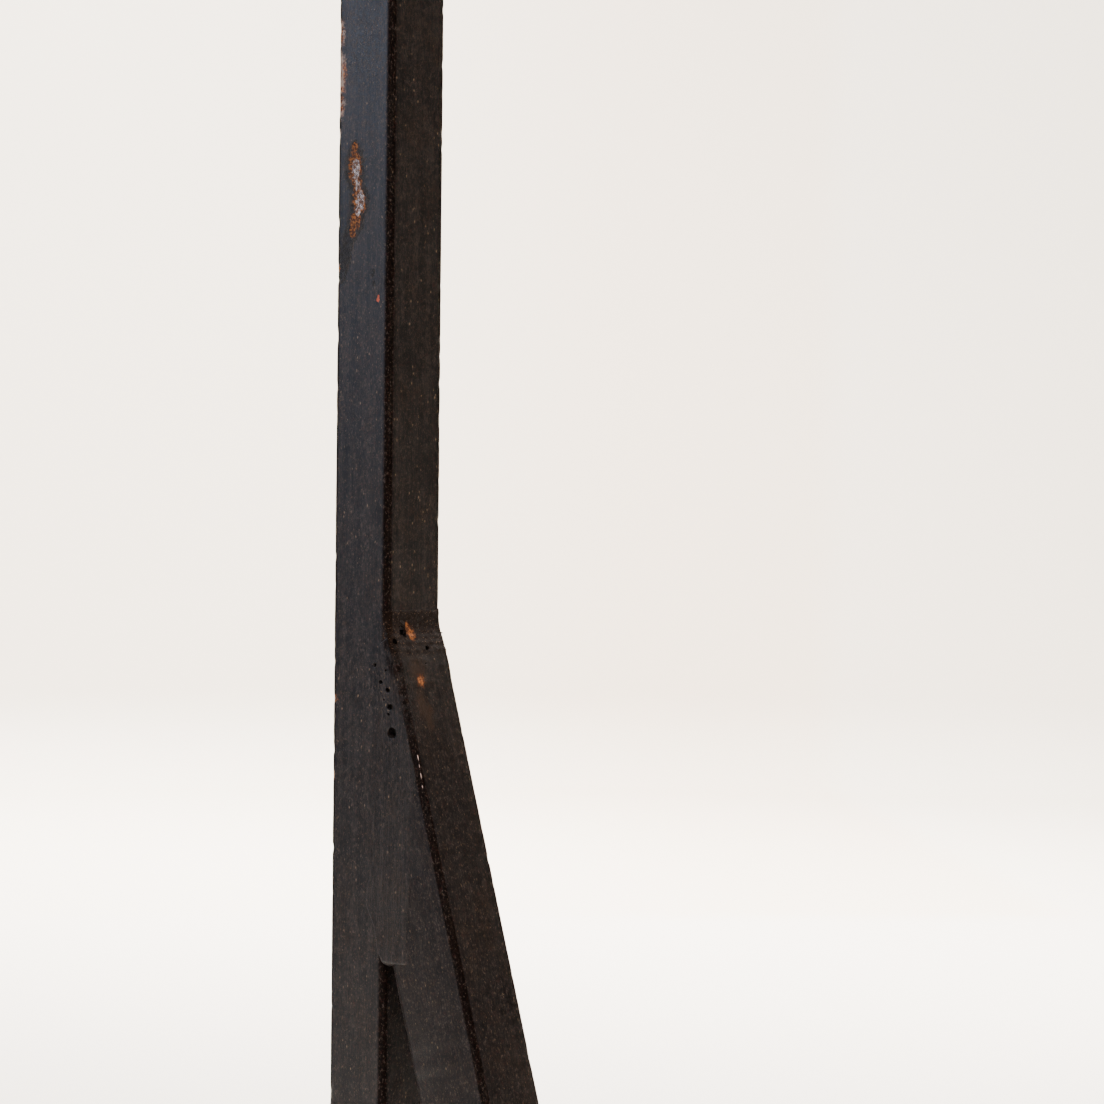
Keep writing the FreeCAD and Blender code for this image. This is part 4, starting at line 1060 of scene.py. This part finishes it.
def cast_piece(name, voxel, rounds, body, slot, material, *nodes):
    """A node as a casting: soft edges, a slightly uneven skin and worn corners marked."""
    bm = remeshed(node_copy(*nodes), voxel)
    layer = bm.verts.layers.float.new("edge")
    bm.normal_update()
    for _ in range(rounds):
        bmesh.ops.smooth_vert(bm, verts=bm.verts, factor=0.5, use_axis_x=True,
                              use_axis_y=True, use_axis_z=True)
    bm.normal_update()
    for v in bm.verts:
        middle = sum((e.other_vert(v).co for e in v.link_edges), Vector()) / len(v.link_edges)
        v[layer] = smooth(0.02, 0.075, (v.co - middle).dot(v.normal) / voxel)
    for v in bm.verts:
        v.co += v.normal * (0.02 * MM * ripple(v.co, 4 * MM, 41.0))
    return dress(finish_mesh(bm, name), body, slot, material, *nodes)


def bead_piece(name, voxel, slot, material, body, node, middle, turn_about="Z"):
    """A node as a lumpy weld bead with ripples that run round it."""
    bm = remeshed(node_copy(node), voxel)
    for _ in range(9):
        bmesh.ops.smooth_vert(bm, verts=bm.verts, factor=0.5, use_axis_x=True,
                              use_axis_y=True, use_axis_z=True)
    bm.normal_update()
    moves = []
    for v in bm.verts:
        from_middle = v.co - middle
        across = from_middle.y if turn_about == "Z" else from_middle.z
        level = from_middle.x if turn_about == "Z" else from_middle.y
        angle = math.atan2(across, level)
        pulse = abs(math.sin(angle * 12 + 1.2 * ripple(v.co, 3 * MM, 51.0)))
        lump = 0.35 * ripple(v.co, 2.5 * MM, 52.0) + 0.12 * ripple(v.co, 0.8 * MM, 53.0)
        moves.append((v, v.normal * MM * (0.24 * pulse + lump)))
    for v, move in moves:
        v.co += move
    return dress(finish_mesh(bm, name), body, slot, material, node)


def thread(bm, radius, pitch, start, end, sides=28):
    """A screw thread along Z from start to end, closed at both ends."""
    root = radius - 0.61 * pitch
    turns = math.ceil((end - start) / pitch) + 2
    outline = ((root, 0.0), (root, 0.12), (radius, 0.45), (radius, 0.57), (root, 0.88),
               (root, 1.0))
    verts = [bm.verts.new((r, 0, start + (share - 1.5) * pitch)) for r, share in outline]
    edges = [bm.edges.new(pair) for pair in zip(verts, verts[1:])]
    bmesh.ops.spin(bm, geom=verts + edges, cent=(0, 0, 0), axis=(0, 0, 1),
                   dvec=(0, 0, pitch / sides), angle=2 * math.pi * turns,
                   steps=sides * turns, use_merge=False)
    bmesh.ops.remove_doubles(bm, verts=bm.verts, dist=1e-6)
    for height, away in ((start, -1), (end, 1)):
        bmesh.ops.bisect_plane(bm, geom=bm.verts[:] + bm.edges[:] + bm.faces[:], dist=1e-8,
                               plane_co=(0, 0, height), plane_no=(0, 0, away),
                               clear_outer=True)
        rim = [e for e in bm.edges if e.is_boundary
               and all(abs(v.co.z - height) < 1e-6 for v in e.verts)]
        bmesh.ops.holes_fill(bm, edges=rim, sides=0)


def cut_half(bm, spot, away):
    """Throw away what lies beyond a plane, and close the cut."""
    bmesh.ops.bisect_plane(bm, geom=bm.verts[:] + bm.edges[:] + bm.faces[:], dist=1e-7,
                           plane_co=spot, plane_no=away, clear_outer=True)
    bmesh.ops.holes_fill(bm, edges=[e for e in bm.edges if e.is_boundary], sides=0)


def headed_screw(name, node, towards, head, radius, pitch, body, slot, material):
    """A node's head, edges broken, on a shank with a real thread. towards points to the head."""
    low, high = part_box(node)
    tip, top = (low.y, high.y) if towards > 0 else (high.y, low.y)
    seat = top - towards * head
    middle = Vector(((low.x + high.x) / 2, 0, (low.z + high.z) / 2))
    bm = node_copy(node)
    cut_half(bm, (0, seat, 0), (0, -towards, 0))
    edged(bm, 0.3 * MM)
    shank = bmesh.new()
    thread(shank, radius, pitch, 0.0, abs(seat - tip) + 0.4 * MM)
    bmesh.ops.rotate(shank, cent=(0, 0, 0), verts=shank.verts,
                     matrix=Matrix.Rotation(-towards * math.pi / 2, 3, "X"))
    centre = middle + Vector((0, tip, 0))
    bmesh.ops.translate(shank, vec=centre, verts=shank.verts)
    joined = bpy.data.meshes.new("shank")
    shank.to_mesh(joined)
    shank.free()
    bm.from_mesh(joined)
    bpy.data.meshes.remove(joined)
    piece = finish_mesh(bm, name)
    piece.data.set_sharp_from_angle(angle=math.radians(50))
    return dress(piece, body, slot, material, node)


class RETORT_OT_base(bpy.types.Operator):
    """Build the base plate, its feet and the weld beads on it"""
    bl_idname = "retort.base"
    bl_label = "Base"

    def execute(self, context):
        paint = worn_paint("base_paint", math.pi / 2, ground=False)
        edged_piece("base_slab", 0.5 * MM, "stand", "plate_steel", paint, "base_plate")
        rubber = rubber_finish()
        for place in ("back_right", "back_left", "front_right", "front_left"):
            edged_piece("foot_" + place, 0.6 * MM, "stand", "foot_rubber", rubber,
                        "rubber_foot_" + place)
        zinc = shared_finish("zinc_plate", turned_metal, context.scene.stand_colours.zinc,
                             0.34, "Z")
        edged_piece("foot_screw_set", 0.25 * MM, "stand", "screw_steel", zinc, "foot_screws")
        bead_paint = worn_paint("bead_paint", edges=False, ground=False)
        for node, name in (("post_foot_weld", "post_bead"), ("strut_foot_weld", "strut_bead")):
            low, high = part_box(node)
            bead_piece(name, 0.4 * MM, "weld_steel", bead_paint, "stand", node, (low + high) / 2)
        return {"FINISHED"}


class RETORT_OT_bosses(bpy.types.Operator):
    """Build both boss heads, with their threaded screws, tommy bars and pads"""
    bl_idname = "retort.bosses"
    bl_label = "Boss heads"

    def execute(self, context):
        c = context.scene.stand_colours
        enamel = shared_finish("cast_enamel", cast_enamel)
        steel = turned_metal("boss_screw_steel", (0.34, 0.33, 0.32), 0.32, "Y", age=0.6)
        bright = turned_metal("tommy_bar_steel", c.plate, 0.24, "Y", age=0.4)
        brass = turned_metal("turned_brass", c.brass, 0.3, "Y", (0.12, 0.07, 0.03), 0.5)
        for name in ("ring", "clamp"):
            cast_piece(name + "_boss_casting", 0.42 * MM, 3, name + "_boss", "boss_enamel",
                       enamel, name + "_boss")
            for which, towards in (("post", -1), ("rod", 1)):
                label = name + "_" + which
                headed_screw(label + "_thumb_screw", label + "_screw", towards, SCREW_HEAD,
                             SCREW_THREAD_R, SCREW_PITCH, label + "_screw",
                             "boss_screw_steel", steel)
                edged_piece(label + "_bar", 0.3 * MM, label + "_screw", "boss_screw_steel",
                            bright, label + "_tommy_bar")
                edged_piece(label + "_brass_pad", 0.25 * MM, label + "_pad", "pad_brass",
                            brass, label + "_pad")
        return {"FINISHED"}


class RETORT_OT_ring(bpy.types.Operator):
    """Build the ring, its rod and the bead between them"""
    bl_idname = "retort.ring"
    bl_label = "Ring"

    def execute(self, context):
        c = context.scene.stand_colours
        plate = shared_finish("rod_plating", turned_metal, c.plate, 0.2, "X")
        paint_node(plate, "ring_rod")
        hoop = turned_metal("hoop_plating", c.plate, 0.26, "Z")
        edged_piece("ring_band", 0.7 * MM, "ring", "rod_steel", hoop, "ring_hoop")
        low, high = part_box("ring_weld")
        bead_piece("ring_bead", 0.25 * MM, "rod_steel", plate, "ring", "ring_weld",
                   (low + high) / 2, "X")
        return {"FINISHED"}


class RETORT_OT_clamp(bpy.types.Operator):
    """Build the clamp: rod, swivel nut, yoke, jaw, linings, pin, bolt, spring and wing nut"""
    bl_idname = "retort.clamp"
    bl_label = "Clamp"

    def execute(self, context):
        c = context.scene.stand_colours
        plate = shared_finish("rod_plating", turned_metal, c.plate, 0.2, "X")
        paint_node(plate, "clamp_rod")
        zinc_x = turned_metal("zinc_nut", c.zinc, 0.34, "X")
        zinc_y = turned_metal("zinc_bolt", c.zinc, 0.34, "Y")
        edged_piece("swivel_hexagon", 0.35 * MM, "clamp_rod", "screw_steel", zinc_x,
                    "swivel_nut")
        enamel = shared_finish("cast_enamel", cast_enamel)
        cast_piece("yoke_casting", 0.42 * MM, 3, "clamp_yoke", "boss_enamel", enamel,
                   "clamp_yoke")
        cast_piece("jaw_casting", 0.42 * MM, 3, "moving_jaw", "boss_enamel", enamel,
                   "moving_jaw")
        cork = cork_finish()
        edged_piece("fixed_cork", 0.4 * MM, "clamp_yoke", "lining_cork", cork, "fixed_lining")
        edged_piece("moving_cork", 0.4 * MM, "moving_jaw", "lining_cork", cork, "moving_lining")
        zinc_z = shared_finish("zinc_plate", turned_metal, c.zinc, 0.34, "Z")
        edged_piece("hinge_pin", 0.3 * MM, "clamp_yoke", "screw_steel", zinc_z, "jaw_pin")
        headed_screw("jaw_bolt", "clamp_bolt", 1, BOLT_HEAD, BOLT_THREAD_R, BOLT_PITCH,
                     "clamp_yoke", "screw_steel", zinc_y)
        edged_piece("bolt_washer", 0.25 * MM, "clamp_washer", "screw_steel", zinc_y,
                    "clamp_washer")
        cast_piece("cast_wing_nut", 0.2 * MM, 4, "wing_nut", "screw_steel", zinc_y, "wing_nut")
        self.spring()
        return {"FINISHED"}

    def spring(self):
        """A round wire wound into a coil about the bolt."""
        low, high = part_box("clamp_spring")
        radius = (high.x - low.x) / 2 - SPRING_WIRE_R
        middle = Vector(((low.x + high.x) / 2, 0, (low.z + high.z) / 2))
        height = high.y - low.y - 2 * SPRING_WIRE_R
        steps = SPRING_TURNS * 36
        bm = bmesh.new()
        made = bmesh.ops.create_circle(bm, segments=12, radius=SPRING_WIRE_R)["verts"]
        bmesh.ops.rotate(bm, cent=(0, 0, 0), verts=made,
                         matrix=Matrix.Rotation(math.pi / 2, 3, "X"))
        bmesh.ops.translate(bm, vec=(radius, 0, 0), verts=made)
        bmesh.ops.spin(bm, geom=bm.verts[:] + bm.edges[:], cent=(0, 0, 0), axis=(0, 0, 1),
                       dvec=(0, 0, height / steps), angle=2 * math.pi * SPRING_TURNS,
                       steps=steps, use_merge=False)
        bmesh.ops.holes_fill(bm, edges=[e for e in bm.edges if e.is_boundary], sides=0)
        bmesh.ops.rotate(bm, cent=(0, 0, 0), verts=bm.verts,
                         matrix=Matrix.Rotation(math.pi / 2, 3, "X"))
        top = middle + Vector((0, high.y - SPRING_WIRE_R, 0))
        bmesh.ops.translate(bm, vec=top, verts=bm.verts)
        piece = finish_mesh(bm, "coil_spring")
        wire = turned_metal("spring_wire", (0.42, 0.41, 0.4), 0.28, "Y")
        dress(piece, "clamp_yoke", "spring_steel", wire, "clamp_spring")
        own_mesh(piece)


# ---- stage ---------------------------------------------------------------------------------------

def floor_paint(centre, ahead, edge):
    """Matt off-white paint, a little brighter on the floor up to a line behind the stand; painted
    shade makes the room dark grey away from it.
    """
    g = Graph("room_paint")
    here = g.place(centre, 0.0, (1000, 1000, 1000))
    mottle = g.noise(here, 0.8, 2.0)
    behind = g.vector("DOT_PRODUCT", here, tuple(ahead))
    far = g.step(behind, edge - 0.06, edge + 0.03)
    aside = g.vector("DOT_PRODUCT", here, (ahead.y, -ahead.x, 0))
    blush = g.calc("MULTIPLY", g.step(aside, 0.0, 0.35), g.step(aside, 0.62, 0.56))
    wall = g.mix(blush, (0.80, 0.735, 0.65), (0.79, 0.69, 0.585))
    wall = g.mix(g.calc("MULTIPLY", mottle, 0.3), wall, (0.77, 0.71, 0.63))
    pale = g.mix(far, (0.8, 0.74, 0.67), wall)
    spread = g.vector("LENGTH", g.vector("MULTIPLY", here, (1, 1, 0)))
    # Painted light and shade: pale in a wedge behind the stand and near the post, dark grey
    # everywhere else.
    painted_light_zone = g.step(g.calc("DIVIDE", behind, spread), 0.8, 0.95)
    painted_light_zone = g.calc("MAXIMUM", painted_light_zone, g.step(spread, 1.5, 0.9))
    return g.surface(g.mix(painted_light_zone, (0.2, 0.195, 0.19), pale), 0.9, specular=0.1)


def view_axes(stage):
    """The camera's right and forward on the floor, before it turns aside."""
    right = Vector((math.cos(stage.turn), math.sin(stage.turn), 0))
    ahead = Vector((-math.sin(stage.turn), math.cos(stage.turn), 0))
    return right, ahead


def add_light(name, place, target, size, power, tint, spread=math.pi):
    """A soft area light aimed at a point."""
    data = bpy.data.lights.new(name, "AREA")
    data.shape = "RECTANGLE"
    data.size, data.size_y = size
    data.energy = power
    data.spread = spread
    data.color = tint
    lamp = bpy.data.objects.new(name, data)
    lamp.location = place
    lamp.rotation_euler = (Vector(target) - Vector(place)).to_track_quat("-Z", "Y").to_euler()
    lamp.visible_camera = False
    bpy.context.scene.collection.objects.link(lamp)
    return lamp


def build_room(stage, axis, ahead):
    """A round room, its floor swept up into its wall."""
    bm = bmesh.new()
    bmesh.ops.create_circle(bm, cap_ends=True, segments=128, radius=stage.room)
    rim = bm.edges[:]
    raised = bmesh.ops.extrude_edge_only(bm, edges=rim)["geom"]
    tops = [v for v in raised if isinstance(v, bmesh.types.BMVert)]
    bmesh.ops.translate(bm, vec=(0, 0, 2.8), verts=tops)
    fold = [e for e in bm.edges if len(e.link_faces) == 2
            and abs(e.link_faces[0].normal.z - e.link_faces[1].normal.z) > 0.5]
    bmesh.ops.bevel(bm, geom=fold, offset=0.12, segments=8, profile=0.5, affect="EDGES",
                    material=-1)
    bmesh.ops.translate(bm, vec=axis, verts=bm.verts)
    room = finish_mesh(bm, "room")
    room.data.flip_normals()
    room.data.materials.append(floor_paint(axis, ahead, stage.line))


def hang_flags(axis, right, ahead):
    """Dark cloths that only reflections see."""
    dark = Graph("flag_cloth").surface((0.004, 0.004, 0.004), 1.0, specular=0.0)
    for name, towards, tall in (("flag_left", -right * 0.95, 0.43),
                                ("flag_right", right * 0.95, 0.75),
                                ("flag_back", -ahead * 1.3, 1.5)):
        bm = bmesh.new()
        bmesh.ops.create_cube(bm, size=1.0)
        bmesh.ops.scale(bm, vec=(0.01, 2.1, tall), verts=bm.verts)
        bmesh.ops.rotate(bm, cent=(0, 0, 0), verts=bm.verts,
                         matrix=Matrix.Rotation(math.atan2(towards.y, towards.x), 3, "Z"))
        spot = axis + towards + Vector((0, 0, tall / 2 + 0.01))
        bmesh.ops.translate(bm, vec=spot, verts=bm.verts)
        flag = finish_mesh(bm, name, False)
        flag.data.materials.append(dark)
        flag.visible_camera = flag.visible_shadow = flag.visible_diffuse = False


def hang_lights(axis, target, right, ahead):
    """A cool light left, a faint fill right, a key above, two washes and a dim sky."""
    add_light("sky_left", target - right * 1.5 + Vector((0, 0, 0.75)), target, (1.2, 1.0),
              15, (0.64, 0.75, 1.0))
    add_light("fill_right", target + right * 1.5 + Vector((0, 0, 0.5)), target, (1.0, 0.8),
              0.5, (1.0, 0.9, 0.8))
    front = axis - ahead * 1.1 + Vector((0, 0, 2.3))
    add_light("key_top", front, axis + Vector((0, 0, 0.2)), (1.4, 1.4), 52,
              (1.0, 0.97, 0.93))
    over = axis + ahead * 2.0 + Vector((0, 0, 2.7))
    add_light("floor_wash", over, over - Vector((0, 0, 1)), (4.0, 0.8), 205,
              (1.0, 0.975, 0.945), math.radians(80))
    over = axis + ahead * 0.9 + Vector((0, 0, 2.6))
    add_light("wall_wash", over, over + ahead * 0.8 - Vector((0, 0, 0.6)), (4.0, 0.8), 175,
              (1.0, 0.975, 0.94), math.radians(110))
    world = bpy.data.worlds.new("room")
    world.use_nodes = True
    world.node_tree.nodes["Background"].inputs[0].default_value = (0.9, 0.93, 1.0, 1)
    world.node_tree.nodes["Background"].inputs[1].default_value = 0.04
    bpy.context.scene.world = world


def aim_camera(stage, target, right, ahead):
    """The camera, turned aside and leaned a little."""
    data = bpy.data.cameras.new("camera")
    data.sensor_width = 36.0
    data.lens = stage.lens
    data.clip_start = 0.01
    camera = bpy.data.objects.new("camera", data)
    look = ahead * math.cos(stage.aside) + right * math.sin(stage.aside)
    side = right * math.cos(stage.aside) - ahead * math.sin(stage.aside)
    up = Vector((0, 0, 1))
    side_rolled = side * math.cos(stage.roll) + up * math.sin(stage.roll)
    up_rolled = up * math.cos(stage.roll) - side * math.sin(stage.roll)
    turn = Matrix((side_rolled, up_rolled, -look)).transposed()
    camera.matrix_world = Matrix.Translation(target - ahead * stage.distance) @ turn.to_4x4()
    bpy.context.scene.collection.objects.link(camera)
    bpy.context.scene.camera = camera


class RETORT_OT_stage(bpy.types.Operator):
    """Set the floor, backdrop, lights and camera"""
    bl_idname = "retort.stage"
    bl_label = "Stage"

    def execute(self, context):
        stage = context.scene.stage_settings
        right, ahead = view_axes(stage)
        axis = Vector((POST_X, 0, 0))
        eye_z = HEAD_Z + stage.rise
        target = axis + Vector((0, 0, eye_z))
        build_room(stage, axis, ahead)
        hang_flags(axis, right, ahead)
        hang_lights(axis, target, right, ahead)
        aim_camera(stage, target, right, ahead)
        return {"FINISHED"}


class RETORT_PT_build(bpy.types.Panel):
    """Lists the steps that build the stand"""
    bl_idname = "RETORT_PT_build"
    bl_label = "Retort stand"
    bl_space_type = "VIEW_3D"
    bl_region_type = "UI"
    bl_category = "Retort Stand"

    def draw(self, context):
        for step in STEPS:
            self.layout.operator(step.bl_idname)
        for group in ("stand_sizes", "stand_colours", "stage_settings"):
            settings = getattr(context.scene, group)
            for key in settings.__annotations__:
                self.layout.prop(settings, key)


STEPS = (RETORT_OT_stage, RETORT_OT_post, RETORT_OT_strut, RETORT_OT_joint_welds,
         RETORT_OT_base, RETORT_OT_bosses, RETORT_OT_ring, RETORT_OT_clamp)
CLASSES = (StandSizes, StandColours, StageSettings, *STEPS, RETORT_PT_build)


def register():
    """Add the settings, steps and panel."""
    for cls in CLASSES:
        bpy.utils.register_class(cls)
    scene = bpy.types.Scene
    scene.stand_sizes = bpy.props.PointerProperty(type=StandSizes)
    scene.stand_colours = bpy.props.PointerProperty(type=StandColours)
    scene.stage_settings = bpy.props.PointerProperty(type=StageSettings)


def unregister():
    """Take them away again."""
    for key in ("stand_sizes", "stand_colours", "stage_settings"):
        delattr(bpy.types.Scene, key)
    for cls in reversed(CLASSES):
        bpy.utils.unregister_class(cls)


def main():
    """Register the steps and build every piece."""
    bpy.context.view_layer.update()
    register()
    for step in STEPS:
        group, name = step.bl_idname.split(".")
        getattr(getattr(bpy.ops, group), name)()


if __name__ == "__main__":
    main()
